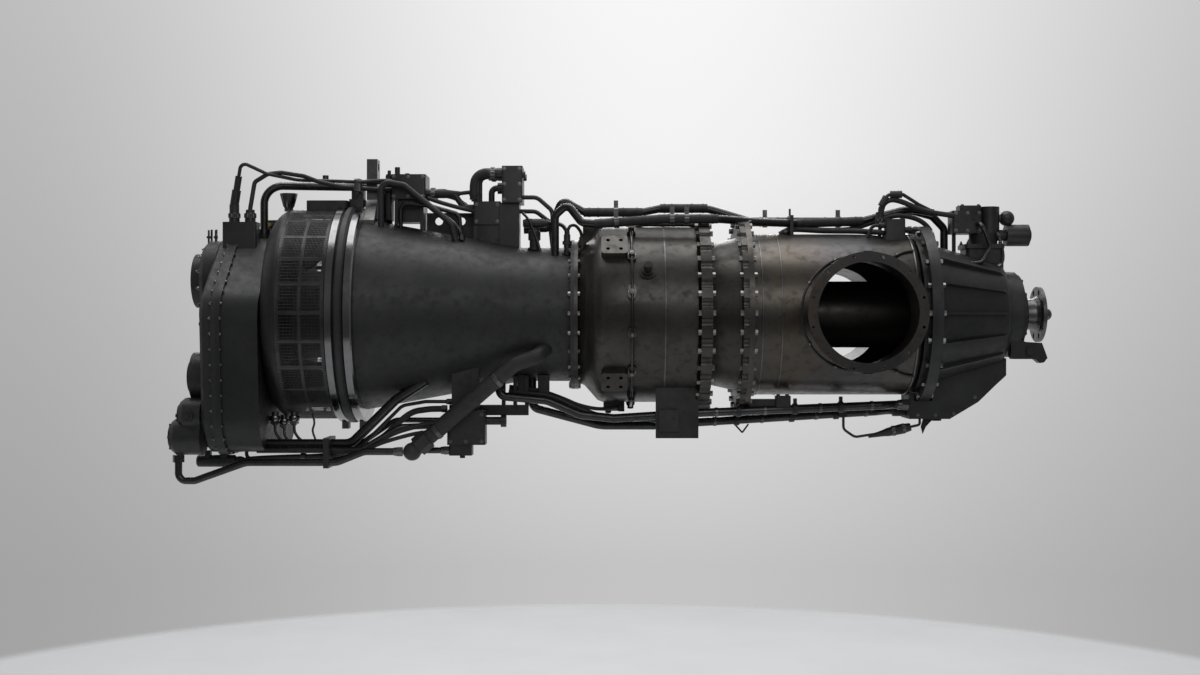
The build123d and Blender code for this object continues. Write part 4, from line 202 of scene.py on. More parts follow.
class NodeSheet(NodeTree):
    """Makes one material out of shader nodes."""

    def __init__(self, name: str) -> None:
        """Start an empty material.

        Args:
            name: The material's name.
        """
        self.material = bpy.data.materials.new(name)
        self.material.use_nodes = True
        super().__init__(self.material.node_tree)

    def position(self, stretch: Point = (1.0, 1.0, 1.0)) -> Socket:
        """Object coordinates, stretched along each axis.

        Args:
            stretch: The factor on each axis.

        Returns:
            The vector socket.
        """
        place = self.add("ShaderNodeTexCoord").outputs["Object"]
        return self.out("ShaderNodeMapping", {"Vector": place, "Scale": stretch})

    def noise(self, vector: Socket, scale: float, detail: float) -> Socket:
        """Fractal noise.

        Args:
            vector: Where it is read.
            scale: Its scale, in cycles a metre.
            detail: Its octaves.

        Returns:
            The value socket.
        """
        inputs = {"Vector": vector, "Scale": scale, "Detail": detail, "Roughness": 0.6}
        return self.add("ShaderNodeTexNoise", inputs).outputs["Fac"]

    def waves(self, source: str, turns: Sequence[Point], scale: float) -> list[Socket]:
        """Wave textures that cross each other.

        Args:
            source: The coordinates that they follow.
            turns: Each wave's turn.
            scale: Their scale.

        Returns:
            The value sockets.
        """
        place = self.add("ShaderNodeTexCoord").outputs[source]
        waves = []
        for turn in turns:
            turned = self.out("ShaderNodeMapping", {"Vector": place, "Rotation": turn})
            wave = self.add("ShaderNodeTexWave", {"Vector": turned, "Scale": scale}, wave_profile="SIN")
            waves.append(wave.outputs["Fac"])
        return waves

    def ramp(self, value: Socket, stops: Sequence[tuple[float, Colour]]) -> Socket:
        """Turn a value into a colour.

        Args:
            value: The value.
            stops: Places from 0 to 1 with their colours.

        Returns:
            The colour socket.
        """
        node = self.add("ShaderNodeValToRGB", {"Fac": value})
        elements = node.color_ramp.elements
        while len(elements) < len(stops):
            elements.new(0.5)
        for element, (place, colour) in zip(elements, stops):
            element.position = place
            element.color = (*colour, 1.0)
        return node.outputs["Color"]

    def blend(
        self, share: Socket | float, under: Socket | Colour, over: Socket | Colour, kind: str = "MIX",
    ) -> Socket:
        """Mix two colours.

        Args:
            share: How much of the second, as a value or a socket.
            under: The first colour or socket.
            over: The second colour or socket.
            kind: How the second goes over the first.

        Returns:
            The colour socket.
        """
        node = self.add("ShaderNodeMix", data_type="RGBA", blend_type=kind)
        for index, value in ((0, share), (6, under), (7, over)):
            if isinstance(value, Socket):
                self.tree.links.new(value, node.inputs[index])
            else:
                node.inputs[index].default_value = value if index == 0 else (*value, 1.0)
        return node.outputs[2]

    def bump(self, height: Socket, strength: float, distance: float) -> Socket:
        """Turn a height into a normal.

        Args:
            height: The height.
            strength: How strong it is.
            distance: How high it is, in metres.

        Returns:
            The normal socket.
        """
        inputs = {"Height": height, "Strength": strength, "Distance": distance}
        return self.add("ShaderNodeBump", inputs).outputs["Normal"]

    def close(self, shader: Socket) -> bpy.types.Material:
        """Link the output.

        Args:
            shader: The surface shader.

        Returns:
            The finished material.
        """
        self.add("ShaderNodeOutputMaterial", {"Surface": shader})
        return self.material


@dataclass(frozen=True)
class Finish:
    """A procedural finish with colour variation, grime and a surface texture; its base and worn colours also
    carry painted shade where they are held darker than the real part.
    """

    name: str
    slot: str
    surface: Surface
    base: Colour
    worn: Colour
    grime: Colour
    metallic: float
    rough: Pair
    bump: float = 0.3
    coat: float = 0.0
    tint: tuple[Colour, ...] = ()

    def _texture(self, sheet: NodeSheet) -> Socket:
        """The height that gives the surface its texture.

        Args:
            sheet: The material being made.

        Returns:
            The height socket.
        """
        if self.surface is Surface.CAST:
            fine = sheet.noise(sheet.position(), *CAST_FINE)
            coarse = sheet.noise(sheet.position(), *CAST_COARSE)
            return sheet.math("ADD", fine, coarse)
        if self.surface is Surface.BRAIDED:
            first, second = sheet.waves("UV", BRAID_TURNS, BRAID_SCALE)
            return sheet.math("MAXIMUM", first, second)
        if self.surface is Surface.WOVEN:
            first, second, third = sheet.waves("Object", WEAVE_TURNS, WEAVE_SCALE)
            return sheet.math("MAXIMUM", sheet.math("MAXIMUM", first, second), third)
        stretch, scale, detail = GRAIN[self.surface]
        return sheet.noise(sheet.position(stretch), scale, detail)

    def build(self) -> bpy.types.Material:
        """Make the material, or give back the one that is already made.

        Returns:
            The material.
        """
        made = bpy.data.materials.get(self.name)
        if made:
            return made
        sheet = NodeSheet(self.name)
        place = sheet.position()
        patches = sheet.noise(place, *PATCHES)
        mottle = sheet.noise(place, *MOTTLE)
        colour = sheet.blend(sheet.remap(patches, (*WEAR_RANGE, 0.0, 1.0)), self.base, self.worn)
        if self.tint:
            station = sheet.add("ShaderNodeSeparateXYZ", {0: place}).outputs["X"]
            wander = sheet.math("MULTIPLY", sheet.noise(place, *WANDER), TINT_WANDER)
            cycles = sheet.math("MULTIPLY", station, TINT_CYCLES)
            share = sheet.math("FRACT", sheet.math("ADD", cycles, wander))
            count = len(self.tint)
            stops = [((index + 0.5) / count, tone) for index, tone in enumerate(self.tint)]
            colour = sheet.blend(TINT_SHARE, colour, sheet.ramp(share, stops))
        dirt = sheet.blend(sheet.remap(mottle, (*GRIME_RANGE, 0.0, GRIME_SHARE)), WHITE, self.grime)
        dirty = sheet.blend(1.0, colour, dirt, "MULTIPLY")
        roughness = sheet.remap(mottle, (*ROUGH_RANGE, *self.rough))
        normal = sheet.bump(self._texture(sheet), self.bump, BUMP_HEIGHT)
        shader = sheet.add(
            "ShaderNodeBsdfPrincipled",
            {"Base Color": dirty, "Roughness": roughness, "Normal": normal, "Metallic": self.metallic,
             "Coat Weight": self.coat, "Coat Roughness": COAT_ROUGHNESS},
        )
        return sheet.close(shader.outputs["BSDF"])


# The castings, steels, tubes and polished ring get base and worn colours near black, far darker than bare
# steel and grey paint: painted shade, so the whole engine reads dark as if lit only from behind, and the
# polished ring's reflections are dimmed.
CASTING = Finish(
    "Casting", "gearbox_casting", Surface.CAST, (0.0125, 0.0128, 0.0135), (0.022, 0.0222, 0.023),
    (0.55, 0.53, 0.50), 0.25, (0.42, 0.62), bump=0.22,
)
DARK_CASTING = Finish(
    "DarkCasting", "gearbox_casting", Surface.CAST, (0.0085, 0.009, 0.0095), (0.015, 0.0153, 0.016),
    (0.6, 0.58, 0.55), 0.2, (0.40, 0.58), bump=0.22,
)
CASE_STEEL = Finish(
    "CaseSteel", "case_steel", Surface.BRUSHED, (0.050, 0.0475, 0.045), (0.072, 0.068, 0.063),
    (0.55, 0.50, 0.44), 0.9, (0.30, 0.48), bump=0.08,
)
DUCT_STEEL = Finish(
    "DuctSteel", "case_steel", Surface.BRUSHED, (0.060, 0.057, 0.054), (0.085, 0.079, 0.073),
    (0.55, 0.48, 0.42), 0.92, (0.26, 0.44), bump=0.07,
    tint=((0.070, 0.065, 0.059), (0.088, 0.072, 0.053), (0.068, 0.059, 0.060), (0.056, 0.057, 0.065)),
)
POLISHED = Finish(
    "PolishedRing", "polished_ring", Surface.TURNED, (0.18, 0.18, 0.184), (0.23, 0.23, 0.23),
    (0.8, 0.79, 0.77), 1.0, (0.12, 0.24), bump=0.04,
)
FLANGE_STEEL = Finish(
    "FlangeSteel", "flange_steel", Surface.TURNED, (0.105, 0.105, 0.107), (0.15, 0.149, 0.146),
    (0.6, 0.57, 0.53), 0.95, (0.26, 0.42), bump=0.06,
)
GEAR_STEEL = Finish(
    "GearSteel", "gear_steel", Surface.TURNED, (0.26, 0.26, 0.264), (0.33, 0.33, 0.326), (0.7, 0.66, 0.60),
    1.0, (0.18, 0.32), bump=0.05,
)
TURBINE_ALLOY = Finish(
    "TurbineAlloy", "turbine_alloy", Surface.BRUSHED, (0.10, 0.093, 0.083), (0.14, 0.125, 0.108),
    (0.5, 0.44, 0.38), 0.95, (0.34, 0.5), bump=0.08,
    tint=((0.12, 0.108, 0.095), (0.15, 0.112, 0.07), (0.095, 0.082, 0.10)),
)
BLACK_SEAL = Finish(
    "BlackSeal", "seal_black", Surface.MOULDED, (0.008, 0.008, 0.0085), (0.014, 0.014, 0.0145),
    (0.8, 0.8, 0.8), 0.0, (0.48, 0.66), bump=0.12,
)
FIRE_SLEEVE = Finish(
    "FireSleeve", "hose_black", Surface.BRAIDED, (0.010, 0.010, 0.0105), (0.020, 0.0195, 0.019),
    (0.75, 0.73, 0.70), 0.0, (0.55, 0.78), bump=0.55,
)
HOSE = Finish(
    "Hose", "hose_black", Surface.WOVEN, (0.010, 0.010, 0.0105), (0.020, 0.0195, 0.019),
    (0.75, 0.73, 0.70), 0.0, (0.5, 0.7), bump=0.35,
)
STEEL_BRAID = Finish(
    "SteelBraid", "tube_steel", Surface.BRAIDED, (0.075, 0.075, 0.076), (0.12, 0.119, 0.116),
    (0.5, 0.47, 0.43), 0.9, (0.30, 0.46), bump=0.9,
)
TUBE_STEEL = Finish(
    "TubeSteel", "tube_steel", Surface.MOULDED, (0.045, 0.0455, 0.047), (0.070, 0.0695, 0.068),
    (0.6, 0.56, 0.52), 0.9, (0.22, 0.38), bump=0.04,
)
SCREEN_WIRE = Finish(
    "ScreenWire", "screen_wire", Surface.MOULDED, (0.075, 0.075, 0.075), (0.11, 0.11, 0.108),
    (0.6, 0.57, 0.53), 0.95, (0.28, 0.44), bump=0.02,
)
BLACK_BOX = Finish(
    "BlackBox", "box_black", Surface.PAINTED, (0.009, 0.009, 0.0098), (0.016, 0.016, 0.0168),
    (0.75, 0.73, 0.7), 0.0, (0.32, 0.5), bump=0.1, coat=0.15,
)
PUMP_METAL = Finish(
    "PumpMetal", "pump_metal", Surface.CAST, (0.026, 0.0265, 0.0275), (0.044, 0.044, 0.0435),
    (0.55, 0.52, 0.48), 0.6, (0.36, 0.54), bump=0.15,
)
GOLD_CAP = Finish(
    "GoldCap", "cap_metal", Surface.TURNED, (0.24, 0.155, 0.05), (0.31, 0.21, 0.08), (0.6, 0.56, 0.5),
    0.9, (0.26, 0.4), bump=0.05,
)
CABLE = Finish(
    "Cable", "harness", Surface.BRAIDED, (0.012, 0.0125, 0.012), (0.022, 0.0225, 0.021), (0.7, 0.68, 0.65),
    0.0, (0.5, 0.7), bump=0.5,
)
HARNESS = Finish(
    "Harness", "harness", Surface.WOVEN, (0.013, 0.014, 0.0125), (0.022, 0.0225, 0.021), (0.7, 0.68, 0.65),
    0.15, (0.42, 0.6), bump=0.2,
)
BOLT_STEEL = Finish(
    "BoltSteel", "bolt_steel", Surface.TURNED, (0.15, 0.147, 0.14), (0.21, 0.205, 0.195), (0.5, 0.46, 0.42),
    0.95, (0.24, 0.4), bump=0.04,
)

NODE_FINISHES: dict[str, Finish] = {
    node: finish
    for finish, nodes in (
        (CASTING, "accessory_gearbox_cover compressor_case gearbox_front_housing gearbox_sump inlet_case"),
        (DARK_CASTING, "accessory_gearbox_housing gearbox_rear_housing oil_tank thrust_bearing_cover"),
        (GEAR_STEEL, "bearing_races bleed_valve_piston first_stage_carrier fuel_pump_gear "
         "gas_generator_shaft idler_gear ring_gears second_stage_carrier starter_drive_gear"),
        (HOSE, "bleed_air_hose"),
        (PUMP_METAL, "bleed_valve_body front_sensor_bracket fuel_control_unit fuel_pump pipe_brackets "
         "propeller_governor"),
        (TUBE_STEEL, "breather_pipe fuel_manifold rigid_tubes top_conduits"),
        (TURBINE_ALLOY, "combustion_liner compressor_turbine power_turbine turbine_vanes"),
        (FLANGE_STEEL, "compressor_rotor filler_cap_lever inlet_screen_frame lifting_bracket "
         "propeller_shaft"),
        (CASE_STEEL, "compressor_stators gas_generator_case power_turbine_housing shaft_housing"),
        (BLACK_BOX, "control_unit exciter_box speed_sensor_block"),
        (DUCT_STEEL, "exhaust_duct"),
        (BOLT_STEEL, "flange_bolts"),
        (POLISHED, "inlet_clamp_rings"),
        (SCREEN_WIRE, "inlet_screen"),
        (BLACK_SEAL, "inlet_seal_ring"),
        (GOLD_CAP, "oil_filler_cap"),
        (HARNESS, "wiring_harness"),
    )
    for node in nodes.split()
}


@dataclass
class CadDresser:
    """Gives the carried-over CAD nodes their finishes and smooth, crisp-edged shading."""

    frame: dict

    def finish_for(self, name: str) -> Finish:
        """The finish of a node; the planet gears share the gear steel."""
        return NODE_FINISHES.get(name, GEAR_STEEL)

    def dress(self) -> int:
        """Dress every node.

        Returns:
            How many nodes were dressed.
        """
        for name, node in self.frame["nodes"].items():
            mesh = node.data
            mesh.materials.clear()
            mesh.materials.append(self.finish_for(name).build())
            mesh.polygons.foreach_set("use_smooth", [True] * len(mesh.polygons))
            weld = node.modifiers.new("Weld", "WELD")
            weld.merge_threshold = WELD_DISTANCE
            crisp = node.modifiers.new("Crisp", "EDGE_SPLIT")
            crisp.split_angle = SMOOTH_ANGLE
            crisp.use_edge_sharp = False
        return len(self.frame["nodes"])


class GeometryTree(NodeTree):
    """A Geometry Nodes tree that is built in code, run once and turned into plain mesh."""

    def __init__(self, name: str, **sizes: float) -> None:
        """Start a tree with a named input for each size.

        Args:
            name: The tree's name.
            **sizes: The inputs with their values; whole numbers make whole-number inputs.
        """
        self.name = name
        self.sizes = sizes
        super().__init__(bpy.data.node_groups.new(name, "GeometryNodeTree"))
        face = self.tree.interface
        face.new_socket("Geometry", in_out="INPUT", socket_type="NodeSocketGeometry")
        face.new_socket("Geometry", in_out="OUTPUT", socket_type="NodeSocketGeometry")
        for key, value in sizes.items():
            kind = "NodeSocketInt" if isinstance(value, int) else "NodeSocketFloat"
            face.new_socket(key, in_out="INPUT", socket_type=kind)
        self.given = self.add("NodeGroupInput")

    def size(self, key: str) -> Socket:
        """The socket of a named size."""
        return self.given.outputs[key]

    def vector(self, x: Socket) -> Socket:
        """A vector along X."""
        return self.out("ShaderNodeCombineXYZ", {"X": x})

    def join(self, *parts: Socket) -> Socket:
        """Join several geometries into one.

        Args:
            *parts: The geometry sockets.

        Returns:
            The joined geometry.
        """
        node = self.add("GeometryNodeJoinGeometry")
        for part in parts:
            self.tree.links.new(part, node.inputs[0])
        return node.outputs[0]

    def grow(self, result: Socket, finish: Finish, start: bpy.types.ID | None = None) -> bpy.types.Object:
        """End the tree in real geometry with its material, run it and keep the mesh.

        Args:
            result: The geometry to keep.
            finish: Its finish.
            start: A mesh or a curve that the tree works on, if it needs one.

        Returns:
            The new object, a plain mesh.
        """
        real = self.out("GeometryNodeRealizeInstances", {0: result})
        dressed = self.out("GeometryNodeSetMaterial", {"Geometry": real, "Material": finish.build()})
        self.add("NodeGroupOutput", {0: dressed})
        holder = in_scene(f"{self.name}_seed", start or bpy.data.meshes.new(f"{self.name}_seed"))
        modifier = holder.modifiers.new("Grow", "NODES")
        modifier.node_group = self.tree
        for item in self.tree.interface.items_tree:
            if item.in_out == "INPUT" and item.name in self.sizes:
                modifier[item.identifier] = self.sizes[item.name]
        bpy.context.view_layer.update()
        seen = holder.evaluated_get(bpy.context.evaluated_depsgraph_get())
        mesh = bpy.data.meshes.new_from_object(seen)
        mesh.name = self.name
        holder.modifiers.remove(modifier)
        bpy.data.objects.remove(holder)
        return in_scene(self.name, mesh)


def mount(
    piece: bpy.types.Object, body: str, replaces: Iterable[str] = (),
) -> bpy.types.Object:
    """Put a finished piece on its body.

    Args:
        piece: The piece, in place.
        body: The CAD body that it moves with.
        replaces: CAD nodes that it stands for.

    Returns:
        The piece.
    """
    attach(piece, body)
    for node in replaces:
        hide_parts(node)
    log.info("%s: %d faces on %s", piece.name, len(piece.data.polygons), body)
    return piece


class MeshSheet:
    """Collects faces in code and turns them into one piece."""

    def __init__(self, name: str) -> None:
        """Start an empty mesh.

        Args:
            name: The piece's name.
        """
        self.name = name
        self.shape = bmesh.new()
        self.uv = self.shape.loops.layers.uv.new("UVMap")

    def lathe(self, profile: Outline, place: Matrix, segments: int) -> None:
        """Turn a closed outline of (height, radius) points about its axis, as a closed band of faces.

        Args:
            profile: The outline, in millimetres; radius 0 closes it on the axis.
            place: Where its base and axis (local +Z) go.
            segments: Faces round the axis.
        """
        rings = []
        for height, radius in profile:
            if radius < 1e-6:
                rings.append([self.shape.verts.new(place @ Vector((0, 0, height * MM)))])
                continue
            ring = []
            for index in range(segments):
                angle = 2 * math.pi * index / segments
                spot = Vector((radius * math.cos(angle), radius * math.sin(angle), height)) * MM
                ring.append(self.shape.verts.new(place @ spot))
            rings.append(ring)
        for first, second in zip(rings, rings[1:]):
            for index in range(segments):
                after = (index + 1) % segments
                corners = [first[index % len(first)], first[after % len(first)]]
                corners += [second[after % len(second)], second[index % len(second)]]
                corners = list(dict.fromkeys(corners))
                if len(corners) > 2:
                    self.shape.faces.new(corners)

    def disc(self, low: float, high: float, radius: float, place: Matrix, segments: int) -> None:
        """A plain cylinder about local Z, from low to high, in millimetres."""
        self.lathe(((low, 0), (low, radius), (high, radius), (high, 0)), place, segments)

    def prism(self, outline: Outline, low: float, high: float, place: Matrix) -> None:
        """A straight prism on an outline.

        Args:
            outline: The outline's corners, in millimetres, anticlockwise.
            low: The base's height.
            high: The top's height.
            place: Where its base and axis (local +Z) go.
        """
        floor = [self.shape.verts.new(place @ (Vector((x, y, low)) * MM)) for x, y in outline]
        roof = [self.shape.verts.new(place @ (Vector((x, y, high)) * MM)) for x, y in outline]
        self.shape.faces.new(list(reversed(floor)))
        self.shape.faces.new(roof)
        for index in range(len(outline)):
            after = (index + 1) % len(outline)
            self.shape.faces.new((floor[index], floor[after], roof[after], roof[index]))

    def tube(self, route: Sequence[Point], radius: float, sides: int, smooth: int) -> None:
        """A round tube along a smooth curve, with capped ends and a UV map that follows it.

        Args:
            route: Points in millimetres, in the object's frame.
            radius: The tube's radius, in millimetres.
            sides: Faces round the tube.
            smooth: Steps between two points of the route.
        """
        points = smooth_route(route, smooth)
        frames = carried_frames(points)
        travelled = 0.0
        rings, marks = [], []
        for index, (point, side, up) in enumerate(frames):
            if index:
                travelled += (point - frames[index - 1][0]).length
            marks.append(travelled)
            ring = []
            for step in range(sides):
                angle = 2 * math.pi * step / sides
                offset = side * math.cos(angle) + up * math.sin(angle)
                ring.append(self.shape.verts.new((point + offset * radius) * MM))
            rings.append(ring)
        turn_length = 2 * math.pi * radius
        for index in range(len(rings) - 1):
            for step in range(sides):
                after = (step + 1) % sides
                face = self.shape.faces.new(
                    (rings[index][step], rings[index][after], rings[index + 1][after], rings[index + 1][step])
                )
                spots = (
                    (step / sides, marks[index]), ((step + 1) / sides, marks[index]),
                    ((step + 1) / sides, marks[index + 1]), (step / sides, marks[index + 1]),
                )
                for loop, (across, onward) in zip(face.loops, spots):
                    loop[self.uv].uv = (across * UV_REPEATS, onward / turn_length * UV_REPEATS)
        self.shape.faces.new(list(reversed(rings[0])))
        self.shape.faces.new(rings[-1])

    def loose_object(self) -> bpy.types.Object:
        """Turn the mesh into an object that no scene shows, for Geometry Nodes to copy.

        Returns:
            The object.
        """
        mesh = self._closed_mesh(COPY_CRISP)
        return bpy.data.objects.new(f"{self.name}_model", mesh)

    def _closed_mesh(self, crisp: float) -> bpy.types.Mesh:
        """The collected faces as a mesh, with its doubles merged and its normals outwards.

        Args:
            crisp: The angle in degrees above which an edge stays sharp.

        Returns:
            The mesh.
        """
        bmesh.ops.remove_doubles(self.shape, verts=self.shape.verts, dist=DOUBLES_DISTANCE)
        bmesh.ops.recalc_face_normals(self.shape, faces=self.shape.faces)
        mesh = bpy.data.meshes.new(self.name)
        self.shape.to_mesh(mesh)
        self.shape.free()
        mesh.polygons.foreach_set("use_smooth", [True] * len(mesh.polygons))
        mesh.set_sharp_from_angle(angle=math.radians(crisp))
        return mesh

    def piece(self, body: str, finish: Finish) -> bpy.types.Object:
        """Finish the mesh and put it on its body.

        Args:
            body: The CAD body that it moves with.
            finish: Its finish.

        Returns:
            The piece.
        """
        mesh = self._closed_mesh(PIECE_CRISP)
        mesh.materials.append(finish.build())
        return mount(in_scene(self.name, mesh), body)


@dataclass(frozen=True)
class Run:
    """One tube: its radius, its faces round, its steps between points, and its route in millimetres."""

    radius: float
    sides: int
    steps: int
    route: tuple[Point, ...]


def lay(name: str, finish: Finish, runs: Sequence[Run]) -> None:
    """Lay tubes on the engine as one piece.

    Args:
        name: The piece's name.
        finish: Its finish.
        runs: The tubes.
    """
    sheet = MeshSheet(name)
    for run in runs:
        sheet.tube(run.route, run.radius, run.sides, run.steps)
    sheet.piece("engine", finish)


def smooth_route(route: Sequence[Point], steps: int) -> list[Vector]:
    """Points along a smooth curve through a route.

    Args:
        route: The route's points.
        steps: Steps between two points.

    Returns:
        The points, both ends included.
    """
    spots = [Vector(point) for point in route]
    if len(spots) < 3:
        return spots
    ends = [spots[0] * 2 - spots[1], *spots, spots[-1] * 2 - spots[-2]]
    result = []
    for index in range(len(spots) - 1):
        before, start, end, after = ends[index:index + 4]
        for step in range(steps):
            share = step / steps
            square, cube = share * share, share ** 3
            result.append(0.5 * (
                start * 2 + (end - before) * share
                + (before * 2 - start * 5 + end * 4 - after) * square
                + (start * 3 - before - end * 3 + after) * cube
            ))
    return result + [spots[-1]]


def carried_frames(points: Sequence[Vector]) -> list[tuple[Vector, Vector, Vector]]:
    """A side and an up direction at each point, carried along without twist.

    Args:
        points: The points.

    Returns:
        Each point with its side and up directions.
    """
    frames = []
    side = None
    for index, point in enumerate(points):
        ahead = (points[min(index + 1, len(points) - 1)] - points[max(index - 1, 0)]).normalized()
        if side is None:
            reference = Vector(UP) if abs(ahead.z) < 0.9 else Vector(FORWARD)
            side = ahead.cross(reference).normalized()
        side = (side - ahead * side.dot(ahead)).normalized()
        frames.append((point, side, ahead.cross(side).normalized()))
    return frames


def at(station: float, y: float, z: float, towards: Point = UP, spin: float = 0.0) -> Matrix:
    """A placement whose local +Z points a given way.

    Args:
        station: X, in millimetres.
        y: Y, in millimetres.
        z: Z, in millimetres.
        towards: The direction of local +Z.
        spin: A turn about it, in degrees.

    Returns:
        The matrix.
    """
    direction = Vector(towards).normalized()
    turned = direction.to_track_quat("Z", "Y").to_matrix().to_4x4()
    placed = Matrix.Translation(Vector((station, y, z)) * MM)
    return placed @ turned @ Matrix.Rotation(math.radians(spin), 4, "Z")


def outward(station: float, radius: float, angle: float, spin: float = 0.0) -> Matrix:
    """A placement on the engine's outside, facing away from its centre line.

    Args:
        station: X, in millimetres.
        radius: The distance from the centre line.
        angle: Degrees from the top towards +Y.
        spin: A turn about the outward direction, in degrees.

    Returns:
        The matrix.
    """
    y, z = math.sin(math.radians(angle)), math.cos(math.radians(angle))
    return at(station, radius * y, radius * z, (0.0, y, z), spin)


def hexagon(radius: float) -> list[Pair]:
    """The corners of a hexagon."""
    return [(radius * math.cos(math.pi * k / 3), radius * math.sin(math.pi * k / 3)) for k in range(6)]


def rounded(half_x: float, half_y: float, corner: float) -> list[Pair]:
    """A rectangle's outline with round corners.

    Args:
        half_x: Half its width.
        half_y: Half its height.
        corner: The corners' radius.

    Returns:
        The outline's points, anticlockwise.
    """
    points = []
    corners = ((1, 1, 0), (-1, 1, 90), (-1, -1, 180), (1, -1, 270))
    for side_x, side_y, start in corners:
        for step in range(CORNER_STEPS + 1):
            angle = math.radians(start + 90 * step / CORNER_STEPS)
            points.append((
                side_x * (half_x - corner) + corner * math.cos(angle),
                side_y * (half_y - corner) + corner * math.sin(angle),
            ))
    return points


@dataclass
class InletScreen:
    """The wire cloth round the inlet, as hoops and axial wires of real thickness."""

    wire: float = 0.55 * MM
    hoops: int = 36
    wires: int = 210
    wire_sides: int = 4
    hoop_steps: int = 160

    def build(self) -> bpy.types.Object:
        """Weave the cloth over the CAD drum's place.

        Returns:
            The piece.
        """
        low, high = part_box("inlet_screen")
        radius = (high[2] - low[2]) / 2 - self.wire
        length = high[0] - low[0]
        tree = GeometryTree(
            "inlet_wire_cloth", Radius=radius, Length=length - 2 * self.wire, Wire=self.wire,
            Hoops=self.hoops, Wires=self.wires, Start=low[0] + self.wire,
        )
        start = tree.vector(tree.size("Start"))
        end = tree.vector(tree.math("ADD", tree.size("Start"), tree.size("Length")))
        circle = "GeometryNodeCurvePrimitiveCircle"
        profile = tree.out(circle, {"Resolution": self.wire_sides, "Radius": tree.size("Wire")})
        ring = tree.out(circle, {"Resolution": self.hoop_steps, "Radius": tree.size("Radius")})
        upright = tree.out("GeometryNodeTransform", {"Geometry": ring, "Rotation": UPRIGHT})
        ends = {"Count": tree.size("Hoops"), "Start Location": start, "Offset": end}
        line = tree.out("GeometryNodeMeshLine", ends, mode="END_POINTS")
        hoops = tree.out("GeometryNodeInstanceOnPoints", {"Points": line, "Instance": upright})
        spots = {"Vertices": tree.size("Wires"), "Radius": tree.size("Radius")}
        around = tree.out("GeometryNodeMeshCircle", spots)
        standing = tree.out("GeometryNodeTransform", {"Geometry": around, "Rotation": UPRIGHT})
        straight = tree.out("GeometryNodeCurvePrimitiveLine", {"Start": start, "End": end})
        axial = tree.out("GeometryNodeInstanceOnPoints", {"Points": standing, "Instance": straight})
        paths = tree.out("GeometryNodeRealizeInstances", {0: tree.join(hoops, axial)})
        cloth = tree.out("GeometryNodeCurveToMesh", {"Curve": paths, "Profile Curve": profile})
        return mount(tree.grow(cloth, SCREEN_WIRE), "engine", ["inlet_screen"])


class Scatter:
    """Sets copies of one small shape on marked places with Geometry Nodes."""

    def __init__(self, name: str, template: MeshSheet, finish: Finish) -> None:
        """Keep the shape that is copied.

        Args:
            name: The name of the piece that the copies make.
            template: The shape, about its own origin, with local +Z outwards.
            finish: Its finish.
        """
        self.name = name
        self.finish = finish
        self.model = template.loose_object()

    def place(self, spots: Sequence[Matrix]) -> bpy.types.Object:
        """Put a copy on each spot.

        Args:
            spots: Where the copies go.

        Returns:
            The piece.
        """
        seeds = bpy.data.meshes.new(f"{self.name}_seeds")
        seeds.from_pydata([tuple(spot.translation) for spot in spots], [], [])
        turns = seeds.attributes.new("turn", "FLOAT_VECTOR", "POINT")
        for item, spot in zip(turns.data, spots):
            item.vector = spot.to_euler()
        tree = GeometryTree(self.name, Size=1.0)
        named = {"Name": turns.name}
        turn = tree.out("GeometryNodeInputNamedAttribute", named, data_type="FLOAT_VECTOR")
        rotation = tree.out("FunctionNodeEulerToRotation", {"Euler": turn})
        model = tree.add("GeometryNodeObjectInfo", {"Object": self.model}).outputs["Geometry"]
        copies = tree.out(
            "GeometryNodeInstanceOnPoints",
            {"Points": tree.given.outputs["Geometry"], "Instance": model, "Rotation": rotation,
             "Scale": tree.size("Size")},
        )
        piece = tree.grow(copies, self.finish, seeds)
        bpy.data.objects.remove(self.model)
        return mount(piece, "engine")


def hex_screw(size: float) -> MeshSheet:
    """A hexagon screw on a washer.

    Args:
        size: Half its width over the corners, in millimetres.

    Returns:
        The shape.
    """
    sheet = MeshSheet("hex_screw")
    top = size * 0.95
    sheet.disc(*WASHER, size * 1.4, Matrix(), 16)
    sheet.prism(hexagon(size), 0.8, top, Matrix())
    crown = ((top - 0.2, 0), (top - 0.2, size * 0.82), (top + 0.35, size * 0.6), (top + 0.35, 0))
    sheet.lathe(crown, Matrix(), 12)
    return sheet


def lock_nut(size: float, stud: float) -> MeshSheet:
    """A nut on a washer with the end of its stud.

    Args:
        size: Half the nut's width over the corners, in millimetres.
        stud: How far the stud stands out of the nut.

    Returns:
        The shape.
    """
    sheet = MeshSheet("lock_nut")
    sheet.disc(*WASHER, size * 1.45, Matrix(), 16)
    sheet.prism(hexagon(size), 0.8, size, Matrix())
    collar = ((size * 0.9, 0), (size * 0.9, size * 0.78), (size * 1.4, size * 0.66), (size * 1.4, 0))
    sheet.lathe(collar, Matrix(), 12)
    end = size + stud
    tip = ((size, 0), (size, size * 0.46), (end - 0.5, size * 0.46), (end, size * 0.3), (end, 0))
    sheet.lathe(tip, Matrix(), 10)
    return sheet


def band(inner: float, wall: float, length: float) -> MeshSheet:
    """A plain band round a tube that runs along local Z.

    Args:
        inner: The tube's radius, in millimetres.
        wall: The band's thickness.
        length: Its length.

    Returns:
        The shape.
    """
    sheet = MeshSheet("band")
    half = length / 2
    edge = min(0.4, wall / 2)
    sheet.lathe(
        ((-half, inner - 0.3), (-half, inner + wall - edge), (-half + edge, inner + wall),
         (half - edge, inner + wall), (half, inner + wall - edge), (half, inner - 0.3), (-half, inner - 0.3)),
        Matrix(), 20,
    )
    return sheet


